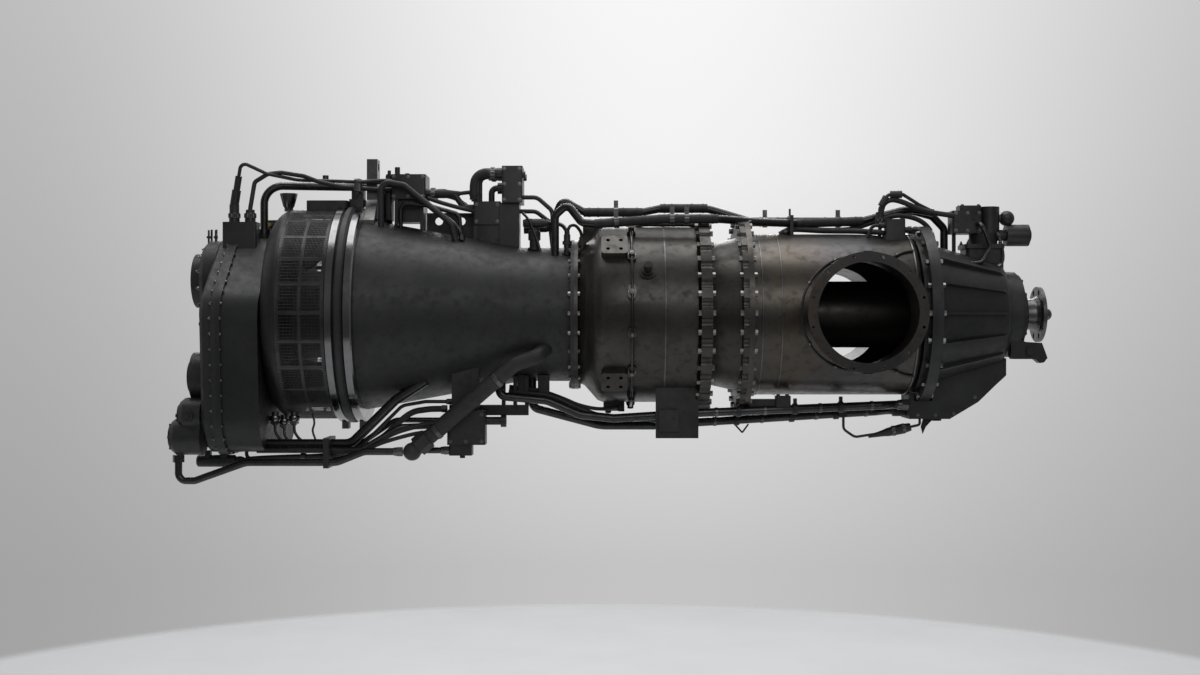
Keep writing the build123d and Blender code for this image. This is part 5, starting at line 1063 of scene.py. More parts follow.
def loop_clamp(inner: float) -> MeshSheet:
    """A cushioned loop clamp with its two-leaf tab and screw; the tube runs along local Z, the tab along +X.

    Args:
        inner: The tube's radius, in millimetres.

    Returns:
        The shape.
    """
    sheet = band(inner, 2.6, 11.0)
    strap, hole, tip = inner + 1.6, inner + 10.5, inner + 17.0
    for side in (-1, 1):
        leaf = ((strap, side * 0.4), (tip, side * 0.4), (tip, side * 2.0), (strap, side * 2.0))
        sheet.prism(leaf if side > 0 else tuple(reversed(leaf)), -5.0, 5.0, Matrix())
    place = at(hole, 2.0, 0.0, FAR)
    sheet.prism(hexagon(3.6), 0.0, 3.4, place)
    under = at(hole, -2.0, 0.0, NEAR)
    sheet.prism(hexagon(3.4), 0.0, 3.0, under)
    sheet.disc(3.0, 6.0, 1.7, under, 8)
    return sheet


def knurled_ring(inner: float, length: float = 9.0, teeth: int = 22) -> MeshSheet:
    """A connector's knurled coupling ring round local Z.

    Args:
        inner: The plug's radius, in millimetres.
        length: The ring's length.
        teeth: Its ridges.

    Returns:
        The shape.
    """
    sheet = MeshSheet("knurled_ring")
    groove, ridge, rim = inner + 1.5, inner + 2.4, inner + 1.2
    rim_length = 1.6
    outline = []
    for index in range(teeth * 2):
        angle = math.pi * index / teeth
        radius = ridge if index % 2 else groove
        outline.append((radius * math.cos(angle), radius * math.sin(angle)))
    sheet.prism(outline, -length / 2, length / 2, Matrix())
    for side in (-1, 1):
        low, high = sorted((side * length / 2, side * (length / 2 + rim_length)))
        sheet.disc(low, high, rim, Matrix(), 20)
    return sheet


def along(start: Point, end: Point, share: float, up: Point = UP) -> Matrix:
    """A placement on a straight run whose local Z follows the run and local +X leans to a side.

    Args:
        start: The run's start, in millimetres.
        end: The run's end.
        share: How far along, from 0 to 1.
        up: The side that local +X leans to.

    Returns:
        The matrix.
    """
    first, last = Vector(start), Vector(end)
    line = (last - first).normalized()
    lean = (Vector(up) - line * Vector(up).dot(line)).normalized()
    side = line.cross(lean)
    turned = Matrix((lean, side, line)).transposed().to_4x4()
    return Matrix.Translation((first + (last - first) * share) * MM) @ turned


def ring_spots(station: float, circle: float, angles: Iterable[float], height: float = 0.0) -> list[Matrix]:
    """Places on a circle that face aft, turned with their angle.

    Args:
        station: X, in millimetres.
        circle: The circle's radius.
        angles: Degrees from the top towards +Y.
        height: Z of the circle's middle.

    Returns:
        The places.
    """
    return [
        at(station, circle * math.sin(math.radians(a)), height + circle * math.cos(math.radians(a)), AFT, a)
        for a in angles
    ]


def both_sides(x: float, face: float, z: float, near_turn: float, far_turn: float) -> list[Matrix]:
    """The places of one screw on a box's near face and on its far face, each with its own turn."""
    return [at(x, -face, z, NEAR, near_turn), at(x, face, z, FAR, far_turn)]


def evenly(outline: Outline, count: int) -> list[Pair]:
    """Places at equal steps round a closed outline.

    Args:
        outline: The outline's points.
        count: How many places.

    Returns:
        The places.
    """
    closed = [Vector(point) for point in outline] + [Vector(outline[0])]
    lengths = [(second - first).length for first, second in zip(closed, closed[1:])]
    step = sum(lengths) / count
    places, wanted, passed = [], step / 2, 0.0
    for first, second, length in zip(closed, closed[1:], lengths):
        while wanted <= passed + length and len(places) < count:
            places.append(tuple(first.lerp(second, (wanted - passed) / length)))
            wanted += step
        passed += length
    return places


# Turned outlines, as (height, radius) points in millimetres.
DRAIN_FITTING = ((0, 0), (0, 8), (9, 8), (9, 11), (11, 12), (19, 12), (21, 11), (21, 7), (30, 6), (30, 0))
VENT_CUP = ((0, 0), (0, 10), (8, 10), (12, 13), (38, 20), (41, 20), (41, 17.5), (13, 9), (13, 0))
GEARBOX_STUD = ((0, 0), (0, 2.4), (32, 2.4), (33, 1.6), (33, 0))
STRAP_STUD = ((0, 0), (0, 4), (14, 4), (15, 3), (15, 0))
EXCITER_BOOT = ((0, 0), (0, 10.8), (16, 10.8), (24, 8.5), (50, 5.6), (52, 4.5), (52, 0))
BOOT_COLLAR = ((-3, 9), (-3, 12), (3, 12), (3, 9), (-3, 9))
NECK_VALVE = ((0, 0), (0, 15), (5, 15), (5, 11), (22, 11), (22, 14), (42, 14), (44, 12), (50, 12), (50, 0))
NECK_UNION = ((0, 0), (0, 8), (8, 10), (46, 10), (50, 7.5), (58, 7.5), (58, 0))
FRONT_PLUG = ((0, 0), (0, 7), (9, 7), (9, 8.4), (16, 8.4), (18, 5), (18, 0))
REAR_PLUG = ((0, 0), (0, 6), (8, 6), (8, 7.4), (13, 7.4), (15, 4.5), (15, 0))
LINE_FILTER = (
    (0, 0), (0, 10), (3, 13.4), (60, 13.4), (60, 12), (64, 12), (64, 13.4), (84, 13.4), (88, 9), (104, 9),
    (104, 0),
)
DRAIN_VALVE = ((0, 0), (0, 7), (6, 7), (8, 5), (8, 0))
SUMP_BOOT = ((-48, 0), (-48, 3.4), (-14, 7.4), (-4, 9.6), (26, 11.6), (34, 11.0), (50, 9.0), (50, 0))


@dataclass
class AccessoryGearboxHardware:
    """Nuts round the accessory gearbox's flange, and screws on its covers and round the oil tank."""

    lobes: tuple[tuple[float, float, float], ...] = (
        (0, 77, 104), (-127, -20, 98), (127, -20, 98), (-112, -218, 95), (112, -218, 95),
    )
    rim_inset: float = 3.0
    flange_back: float = -1850.0
    flange_front: float = -1830.0
    nut_count: int = 46
    tank_back: float = -1750.0
    tank_circle: float = 178.0
    tank_screws: int = 18
    boss_back: float = -1912.0
    boss_circle: float = 74.0
    starter_height: float = 77.0

    def outline(self) -> list[Pair]:
        """The outline on which the nuts sit, as (Y, Z) places.

        Returns:
            Its points.
        """
        points = []
        for step in range(720):
            angle = math.radians(step / 2)
            y, z = math.cos(angle), math.sin(angle)
            lobe = max(self.lobes, key=lambda lobe: lobe[0] * y + lobe[1] * z + lobe[2])
            reach = lobe[2] - self.rim_inset
            points.append((lobe[0] + reach * y, lobe[1] + reach * z))
        return points

    def build(self) -> None:
        """Set the nuts and screws."""
        places = evenly(self.outline(), self.nut_count)
        backs = [at(self.flange_back, y, z, AFT, 7 * y) for y, z in places]
        fronts = [at(self.flange_front, y, z, FORWARD, 5 * z) for y, z in places]
        Scatter("accessory_flange_nuts", lock_nut(3.0, 3.0), BOLT_STEEL).place(backs)
        Scatter("accessory_flange_screws", hex_screw(2.9), BOLT_STEEL).place(fronts)
        ring = [360 * (index + 0.5) / self.tank_screws for index in range(self.tank_screws)]
        tank = ring_spots(self.tank_back, self.tank_circle, ring)
        Scatter("oil_tank_screws", hex_screw(4.2), BOLT_STEEL).place(tank)
        boss = ring_spots(self.boss_back, self.boss_circle, range(15, 360, 30), self.starter_height)
        Scatter("starter_boss_nuts", lock_nut(4.4, 5.0), BOLT_STEEL).place(boss)


@dataclass
class BoxHardware:
    """Screws on the boxes on top, the fuel control, the governor and the sump, and nuts on two pads."""

    exciter_face: float = 45.0
    control_face: float = 46.0
    control_foot_face: float = 26.0
    fuel_control_face: float = 130.0
    governor_face: float = 28.0
    sump_face: float = 46.0
    pad_station: float = -1128.0
    pad_face: float = 163.0
    pad_circle: float = 36.0
    governor_top: float = 248.8
    governor_flange: float = 159.8

    def build(self) -> None:
        """Set the screws and the nuts."""
        spots = []
        for x, z in product((-1479, -1446, -1413), (268, 312)):
            spots += both_sides(x, self.exciter_face, z, x, x)
        for x, z in product((-1228, -1193), (260, 296, 331)):
            spots += both_sides(x, self.control_face, z, z, z)
        for x, z in product((-1293, -1245), (212, 251)):
            spots += both_sides(x, self.control_foot_face, z, x, z)
        for x, z in product((-1342, -1308, -1273), (-283, -223)):
            spots.append(at(x, -self.fuel_control_face, z, NEAR, x + z))
        for x, y in product((-182, -145), (-18, 18)):
            spots.append(at(x, y, self.governor_top, UP, x + y))
        for x, z in product((-199, -172, -146), (191, 231)):
            spots += both_sides(x, self.governor_face, z, x, x)
        for x, z in ((-290, -150), (-290, -190), (-290, -229), (-250, -229), (-208, -226), (-160, -188)):
            spots += both_sides(x, self.sump_face, z, x, z)
        Scatter("cover_screws", hex_screw(3.2), BOLT_STEEL).place(spots)
        nuts = [at(x, y, self.governor_flange, UP, x) for x, y in product((-172, -100), (-35, 35))]
        nuts += [
            at(self.pad_station + self.pad_circle * math.cos(a), self.pad_face,
               self.pad_circle * math.sin(a), FAR, 20 * a)
            for a in (0.3, 1.35, 2.4, 3.44, 4.49, 5.54)
        ]
        Scatter("pad_nuts", lock_nut(4.6, 6.0), BOLT_STEEL).place(nuts)


@dataclass
class TubeHardware:
    """Clamps, bands, nuts and a sleeve on the conduits, the oil pipes and the hoses."""

    sleeve: float = 10.4
    oil_pipe: float = 9.5
    upper_runs: tuple[tuple[Point, Point], ...] = (
        ((-1046, 15, 236), (-915, 15, 236)),
        ((-870, 15, 245), (-765, 15, 245)),
        ((-660, 15, 214), (-412, 15, 214)),
    )
    lower_runs: tuple[tuple[Point, Point], ...] = (
        ((-1020, -100, 201), (-866, -100, 212)),
        ((-866, -100, 212), (-750, -100, 212)),
        ((-560, -14, 208), (-412, -8, 214)),
    )
    oil_runs: tuple[tuple[Point, Point], ...] = (
        ((-792, -90, -222), (-372, -60, -206)),
        ((-792, -40, -246), (-372, 20, -224)),
    )
    sleeve_run: tuple[Point, Point] = ((-1412, -150, -294), (-1200, -152, -112))
    sleeve_radius: float = 18.2

    def build(self) -> None:
        """Set everything that sits on the tubes."""
        clamps = [along(*self.lower_runs[1], share) for share in (0.14, 0.42)]
        clamps += [along(*self.upper_runs[0], 0.55), along(*self.lower_runs[0], 0.3)]
        clamps += [along(*self.upper_runs[2], share) for share in (0.12, 0.8)]
        Scatter("conduit_clamps", loop_clamp(self.sleeve), FLANGE_STEEL).place(clamps)
        conduits = self.upper_runs + self.lower_runs
        bands = [along(*run, share) for run in conduits for share in (0.08, 0.24, 0.68, 0.92)]
        Scatter("conduit_bands", band(self.sleeve, 0.9, 4.0), BLACK_SEAL).place(bands)
        rings = [along(*run, share) for run in self.oil_runs for share in (0.1, 0.36, 0.66, 0.94)]
        Scatter("oil_pipe_bands", band(self.oil_pipe, 1.3, 7.0), FLANGE_STEEL).place(rings)
        nuts = MeshSheet("pipe_union_nuts")
        unions = (
            (at(-309.3, -34, -206, AFT), 14.0), (at(-309.3, 33, -222, AFT), 14.0),
            (at(-1350.3, -110, -250, AFT), 10.5), (at(-1350.3, -90, -238, AFT), 9.5),
            (at(-1340.3, -102, -196, AFT), 7.5), (at(-1444.5, -150, -304, AFT), 11.5),
            (at(-1346.3, -112, -304, AFT), 10.5), (at(-1186.7, 15, 199, FORWARD), 14.0),
        )
        for place, size in unions:
            nuts.prism(hexagon(size), 0.3, size * 1.1, place)
            collar = (
                (size, 0), (size, size * 0.85), (size * 1.7, size * 0.8), (size * 1.9, size * 0.6),
                (size * 1.9, 0),
            )
            nuts.lathe(collar, place, 18)
        nuts.piece("engine", FLANGE_STEEL)
        self.conduit_sleeves()
        self.hose_sleeve()

    def conduit_sleeves(self) -> None:
        """Lay a woven sleeve on each straight run of the two long conduits."""
        sleeves = MeshSheet("conduit_sleeves")
        for start, end in self.upper_runs + self.lower_runs:
            first, last = Vector(start), Vector(end)
            route = [tuple(first.lerp(last, share)) for share in (-0.02, 0.33, 0.67, 1.02)]
            sleeves.tube(route, self.sleeve, 20, 6)
        sleeves.piece("engine", FIRE_SLEEVE)

    def hose_sleeve(self) -> None:
        """Lay the braided sleeve on the bleed air hose, with a band at each end."""
        start, end = (Vector(point) for point in self.sleeve_run)
        low, high = start.lerp(end, 0.17), start.lerp(end, 0.84)
        sleeve = MeshSheet("bleed_hose_sleeve")
        sleeve.tube([tuple(low), tuple((low + high) / 2), tuple(high)], self.sleeve_radius, 28, 8)
        sleeve.piece("engine", FIRE_SLEEVE)
        ends = [along(*self.sleeve_run, share) for share in (0.195, 0.815)]
        Scatter("bleed_hose_bands", band(self.sleeve_radius, 1.4, 9.0), FLANGE_STEEL).place(ends)


@dataclass
class ConnectorHardware:
    """Knurled coupling rings on the plugs and on a sensor lead."""

    large: float = 12.4
    middle: float = 11.4
    small: float = 9.4
    sensor_lead: tuple[Point, Point] = ((-352, -30, -268), (-300, -30, -256))

    def build(self) -> None:
        """Set the rings."""
        large = [at(-1256, side, 322, AFT) for side in (-22, 22)]
        middle = [at(-1840, -48, 223, UP), at(-1804, -48, 223, UP)]
        middle += [at(-1392, side, 276, FORWARD) for side in (-20, 20)]
        small = [at(-374, -36, 214, UP), *(along(*self.sensor_lead, share) for share in (0.2, 0.62))]
        Scatter("large_coupling_rings", knurled_ring(self.large), FLANGE_STEEL).place(large)
        Scatter("middle_coupling_rings", knurled_ring(self.middle), FLANGE_STEEL).place(middle)
        Scatter("small_coupling_rings", knurled_ring(self.small, 7.0, 18), FLANGE_STEEL).place(small)


@dataclass
class ExhaustLeads:
    """The temperature probe leads that lie on the exhaust duct round both port stubs."""

    duct: float = 186.6
    port_station: float = -445.0
    port_reach: float = 127.0
    radius: float = 2.6
    tail: tuple[Pair, ...] = ((-362, 126), (-338, 136), (-316, 140))

    def on_duct(self, station: float, height: float, side: int) -> Point:
        """The point of the duct's outside at a station and a height."""
        return (station, side * math.sqrt(self.duct ** 2 - height ** 2), height)

    def route(self, side: int, above: int) -> list[Point]:
        """The route of one lead.

        Args:
            side: 1 for the far side and -1 for the near side.
            above: 1 for the upper lead and -1 for the lower one.

        Returns:
            Its points.
        """
        points = []
        for angle in range(176, 60, -12):
            spot = math.radians(angle)
            station = self.port_station + self.port_reach * math.cos(spot)
            points.append(self.on_duct(station, above * self.port_reach * math.sin(spot), side))
        return points + [self.on_duct(station, above * height, side) for station, height in self.tail]

    def build(self) -> None:
        """Lay the four leads and their clips and splices."""
        leads = MeshSheet("exhaust_probe_leads")
        splices = MeshSheet("exhaust_probe_splices")
        clips = []
        for side in (-1, 1):
            for above in (-1, 1):
                route = self.route(side, above)
                leads.tube(route, self.radius, 10, 4)
                middle = tuple((Vector(route[7]) + Vector(route[8])) / 2)
                splices.tube([route[7], middle, route[8]], 5.2, 14, 3)
                for index in (2, 5, 10):
                    clips.append(along(route[index], route[index + 1], 0.3, (0, side, above * 0.4)))
        leads.piece("engine", CABLE)
        splices.piece("engine", STEEL_BRAID)
        Scatter("exhaust_lead_clips", band(self.radius, 1.2, 6.0), FLANGE_STEEL).place(clips)


GOVERNOR_LINE = (
    Run(3.2, 12, 6, (
        (-104, -22, 186), (-99, -30, 170), (-95, -38, 146), (-95, -42, 124), (-104, -46, 108),
        (-118, -50, 98),
    )),
)


@dataclass
class CaseDetails:
    """Weld beads, the governor's thin line, and the small fittings below and above the oil tank."""

    duct: float = 184.0
    case: float = 201.0

    def build(self) -> None:
        """Make the beads and the fittings."""
        beads = MeshSheet("weld_beads")
        for station, radius in ((-315, self.duct), (-612, self.duct), (-655, self.duct), (-868, self.case)):
            profile = ((-2.4, radius - 1), (-1.4, radius + 0.9), (0, radius + 1.3), (1.4, radius + 0.9),
                       (2.4, radius - 1), (-2.4, radius - 1))
            beads.lathe(profile, at(station, 0, 0, FORWARD), 144)
        beads.piece("engine", FLANGE_STEEL)
        self.tank_fittings()
        self.governor_line()

    def tank_fittings(self) -> None:
        """The bright drain fittings under the oil tank with their thin tubes, and the vent cup on top."""
        fittings = MeshSheet("oil_tank_fittings")
        lines = MeshSheet("oil_tank_lines")
        for station, y, top in ((-1738, -92, -219), (-1722, -70, -227), (-1696, -88, -219)):
            place = at(station, y, top, DOWN)
            fittings.lathe(DRAIN_FITTING, place, 20)
            fittings.prism(hexagon(10.5), 22.0, 27.0, place)
            drain = [(station, y, top - 28), (station + 2, y - 3, top - 46),
                     (station + 14, y - 4, top - 62), (station + 30, y - 6, -287)]
            lines.tube(drain, 3.2, 10, 5)
        spare = [(-1656, -84, -224), (-1651, -88, -244), (-1654, -92, -262), (-1646, -96, -284)]
        lines.tube(spare, 2.4, 10, 5)
        fittings.lathe(VENT_CUP, at(-1724, -12, 235.5), 28)
        fittings.piece("engine", POLISHED)
        lines.piece("engine", TUBE_STEEL)

    def governor_line(self) -> None:
        """The thin line from the governor's front down into the gearbox nose."""
        lay("governor_line", CABLE, GOVERNOR_LINE)
        nuts = MeshSheet("governor_line_nuts")
        route = GOVERNOR_LINE[0].route
        for place in (along(*route[:2], 0.1), along(*route[-2:], -0.3)):
            nuts.prism(hexagon(5.6), 0, 8, place)
        nuts.piece("engine", FLANGE_STEEL)


CROSSING_LINE = (
    Run(3.8, 12, 6, (
        (-1556, -52, 300), (-1500, -54, 303), (-1478, -55, 299), (-1455, -56, 284), (-1352, -62, 214),
        (-1334, -64, 198), (-1326, -66, 186), (-1322, -66, 170),
    )),
)

NECK_LINES = (
    Run(3.0, 10, 6, (
        (-1187, -42, 230), (-1176, -46, 218), (-1164, -52, 196), (-1152, -56, 164), (-1146, -58, 141),
    )),
    Run(4.6, 12, 6, (
        (-1128, -40, 207), (-1112, -48, 206), (-1096, -62, 200), (-1087, -70, 188), (-1085, -70, 180),
    )),
    Run(3.6, 12, 6, (
        (-1085, -70, 184), (-1078, -70, 198), (-1066, -66, 199), (-1055, -61, 186), (-1052, -60, 172),
    )),
)

FAR_IGNITER_LEAD = (
    Run(4.5, 12, 5, (
        (-1386, 20, 276), (-1350, 24, 270), (-1316, 44, 250), (-1290, 80, 215), (-1240, 100, 170),
        (-1188, 110, 150), (-1130, 112, 135), (-1068, 130, 140), (-1005, 165, 150), (-950, 190, 120),
        (-920, 205, 108), (-907, 214, 105),
    )),
)

FRONT_LEADS = (
    Run(6.0, 14, 6, (
        (-371, -36, 230), (-365, -36, 250), (-348, -36, 260), (-324, -35, 256), (-294, -33, 244),
        (-258, -30, 233), (-203, -24, 225),
    )),
    Run(4.0, 12, 6, (
        (-308, -60, 190), (-296, -60, 190), (-288, -59, 180), (-284, -58, 168), (-282, -56, 160),
    )),
    Run(4.0, 12, 6, (
        (-380, -60, 200), (-392, -60, 199), (-400, -60, 190), (-404, -60, 176),
    )),
    Run(6.4, 14, 6, (
        (-600, -16, 183), (-572, -18, 194), (-500, -20, 191), (-430, -24, 190), (-400, -30, 188),
        (-380, -44, 186), (-366, -56, 182),
    )),
    Run(5.6, 14, 6, (
        (-592, 2, 184), (-560, 2, 196), (-480, 2, 194), (-430, 0, 197), (-400, -8, 206), (-345, -12, 224),
        (-312, -12, 225), (-280, -12, 216), (-258, -12, 198), (-248, -12, 174), (-246, -12, 148),
    )),
    Run(4.8, 12, 6, (
        (-930, -30, 196), (-915, -30, 204), (-860, -30, 204), (-805, -30, 204), (-788, -30, 198),
    )),
    Run(4.6, 12, 6, (
        (-200, -12, 138), (-200, -12, 160), (-200, -12, 186),
    )),
)


@dataclass
class TopPlumbing:
    """Clamps, cable boots, lines and fittings along the top of the engine."""

    post_station: float = -1565.0
    post_base: float = 236.0
    post_top: float = 286.0
    breather: Pair = (32.0, 296.0)
    cables: tuple[Pair, ...] = ((-30.0, 301.0), (-38.0, 287.0))
    boot: float = 10.5
    boot_side: float = 22.0
    nozzle_station: float = -941.0
    nozzle_top: float = 208.0
    nozzle_count: int = 14

    def build(self) -> None:
        """Make every group, from the inlet to the propeller end."""
        self.clamp_post()
        self.exciter_side()
        self.control_unit_side()
        self.neck_fittings()
        self.far_lead()
        self.front_end()
        nuts = [
            outward(self.nozzle_station, self.nozzle_top, 360 * index / self.nozzle_count, 9 * index)
            for index in range(self.nozzle_count)
        ]
        Scatter("nozzle_nuts", lock_nut(6.0, 3.0), BOLT_STEEL).place(nuts)

    def clamp_post(self) -> None:
        """The stacked clamp blocks between the inlet rings, with their loops, and the gearbox studs."""
        post = MeshSheet("top_clamp_post")
        foot = at(self.post_station, -4, self.post_base)
        post.prism(rounded(17, 34, 4), 0, 26, foot)
        post.prism(rounded(12, 30, 3), 26, self.post_top - self.post_base, foot)
        for y in (-24, 16):
            post.prism(hexagon(4.6), 0, 5.5, at(self.post_station, y, self.post_top - 0.4))
        for station in (-1907, -1891):
            post.lathe(GEARBOX_STUD, at(station, -14, 160), 10)
            post.prism(hexagon(5.0), 14, 19, at(station, -14, 160))
        post.piece("engine", PUMP_METAL)
        half = 10.0
        loops = []
        for y, z in (self.breather, *self.cables):
            start, end = (self.post_station - half, y, z), (self.post_station + half, y, z)
            loops.append(along(start, end, 0.5, (0, -0.35 if y > 0 else 0.35, -1)))
        Scatter("post_pipe_clamp", loop_clamp(9.2), FLANGE_STEEL).place(loops[:1])
        Scatter("post_cable_clamps", loop_clamp(6.4), FLANGE_STEEL).place(loops[1:])

    def exciter_side(self) -> None:
        """The strap, the crossing line and the cable boots at the exciter box."""
        strap = MeshSheet("exciter_strap")
        strap.prism(rounded(6, 30, 2), 0, 100, at(-1494, 0, 216))
        stud = at(-1494, -10, 315)
        strap.lathe(STRAP_STUD, stud, 12)
        strap.prism(hexagon(7.5), 1, 6, stud)
        strap.piece("engine", PUMP_METAL)
        lay("crossing_line", STEEL_BRAID, CROSSING_LINE)
        nuts = MeshSheet("crossing_line_nuts")
        nuts.prism(hexagon(7.0), 0, 12, at(-1322, -66, 167))
        nuts.prism(hexagon(6.4), 0, 9, at(-1560, -52, 300, FORWARD))
        nuts.prism(rounded(8, 12, 2), 0, 26, at(-1560, -44, 278))
        nuts.piece("engine", FLANGE_STEEL)
        boot = MeshSheet("exciter_boots")
        boot.lathe(EXCITER_BOOT, at(-1382, -20, 276, FORWARD), 20)
        boot.tube([(-1334, -20, 276), (-1318, -20, 278), (-1298, -20, 280)], 4.6, 12, 6)
        cable = [(-1402, -40, 264), (-1380, -43, 256), (-1350, -42, 247), (-1322, -38, 240),
                 (-1299, -24, 236)]
        boot.tube(cable, 4.8, 12, 6)
        boot.piece("engine", FIRE_SLEEVE)

    def control_unit_side(self) -> None:
        """The thick elbow boots at the control unit's sockets and the web under its lower box."""
        boots = MeshSheet("control_unit_boots")
        for side in (-self.boot_side, self.boot_side):
            elbow = [(-1251, side, 322), (-1276, side, 323), (-1292, side, 313), (-1298, side, 296),
                     (-1298, side, 262)]
            boots.tube(elbow, self.boot, 20, 7)
            for place in (at(-1262, side, 322, AFT), at(-1298, side, 274, DOWN)):
                boots.lathe(BOOT_COLLAR, place, 20)
        boots.piece("engine", FIRE_SLEEVE)
        web = MeshSheet("control_unit_web")
        for side in (-1, 1):
            web.prism(rounded(28, 2.5, 1), 0, 62, at(-1263, side * 18, 147))
            for station in (-1280, -1246):
                web.prism(hexagon(4.2), 0, 3, at(station, side * 20.4, 172, (0, side, 0)))
        web.piece("engine", BLACK_BOX)

    def neck_fittings(self) -> None:
        """The fittings and short lines on the neck behind and beside the arched hoses."""
        bodies = MeshSheet("neck_fittings")
        valve, union = at(-1160, -40, 146), at(-1186, -40, 207, FORWARD)
        bodies.lathe(NECK_VALVE, valve, 24)
        bodies.prism(hexagon(13.5), 24, 31, valve)
        bodies.lathe(NECK_UNION, union, 20)
        bodies.prism(hexagon(11.5), 12, 20, union)
        for station, y, base, height in ((-1085, -70, 132, 54), (-1052, -60, 138, 36)):
            stem = ((0, 0), (0, 11), (5, 11), (5, 7.5), (height - 8, 7.5), (height - 6, 6), (height, 6),
                    (height, 0))
            foot = at(station, y, base)
            bodies.lathe(stem, foot, 20)
            bodies.prism(hexagon(10.4), height * 0.45, height * 0.45 + 8, foot)
        bodies.piece("engine", PUMP_METAL)
        lay("neck_lines", TUBE_STEEL, NECK_LINES)

    def far_lead(self) -> None:
        """The second igniter lead, from the exciter box along the far side to the igniter there."""
        lay("far_igniter_lead", STEEL_BRAID, FAR_IGNITER_LEAD)

    def front_end(self) -> None:
        """The junction box on the duct's front and the second lead under the loop."""
        box = MeshSheet("front_junction_box")
        foot = at(-345, -60, 164)
        box.prism(rounded(26, 18, 4), 0, 14, foot)
        box.prism(rounded(22, 14, 3), 13, 50, foot)
        for x, y in ((-17, -9), (17, -9), (-17, 9), (17, 9)):
            box.prism(hexagon(3.4), 0, 3.2, at(-345 + x, -60 + y, 213.7))
        box.lathe(FRONT_PLUG, at(-324, -60, 190, FORWARD), 18)
        box.lathe(REAR_PLUG, at(-366, -60, 200, AFT), 18)
        box.piece("engine", PUMP_METAL)
        lay("front_leads", FIRE_SLEEVE, FRONT_LEADS)
        seats = [along(*run.route[:2], 0.5) for run in FRONT_LEADS[3:5]]
        Scatter("front_lead_bands", band(6.4, 1.6, 7.0), FLANGE_STEEL).place(seats)
        gusset = MeshSheet("shoulder_gusset")
        gusset.prism(((-22, -52), (20, -2), (20, 4), (-22, 4)), 0, 5, at(-1028, -24, 199, NEAR))
        for x, z in ((-1042, 176), (-1042, 194), (-1018, 197)):
            gusset.prism(hexagon(4.0), 0, 3.4, at(x, -28.8, z, NEAR))
        gusset.piece("engine", CASE_STEEL)


FAN_LINES = (
    Run(6.0, 14, 5, (
        (-1808, -105, -328), (-1780, -108, -323), (-1700, -112, -319), (-1640, -116, -317),
        (-1590, -120, -311), (-1520, -122, -290), (-1460, -124, -262), (-1400, -126, -246),
        (-1352, -126, -240),
    )),
    Run(7.0, 14, 6, (
        (-1618, -95, -306), (-1560, -95, -306), (-1500, -96, -278), (-1440, -98, -226), (-1400, -100, -214),
        (-1352, -100, -212),
    )),
    Run(4.4, 12, 6, (
        (-1600, -132, -308), (-1540, -134, -304), (-1490, -134, -285), (-1430, -132, -268),
        (-1390, -130, -262), (-1350, -128, -260),
    )),
)

LOWER_HARNESS = (
    Run(7.0, 14, 6, (
        (-1216, -64, -172), (-1180, -66, -178), (-1120, -68, -186), (-1060, -70, -212), (-1000, -70, -232),
        (-900, -70, -236), (-872, -80, -246), (-856, -104, -250), (-850, -118, -250),
    )),
    Run(4.2, 12, 6, (
        (-1216, -52, -164), (-1150, -54, -172), (-1096, -56, -190), (-1060, -56, -205), (-1020, -54, -214),
        (-985, -40, -214), (-968, -16, -212),
    )),
)


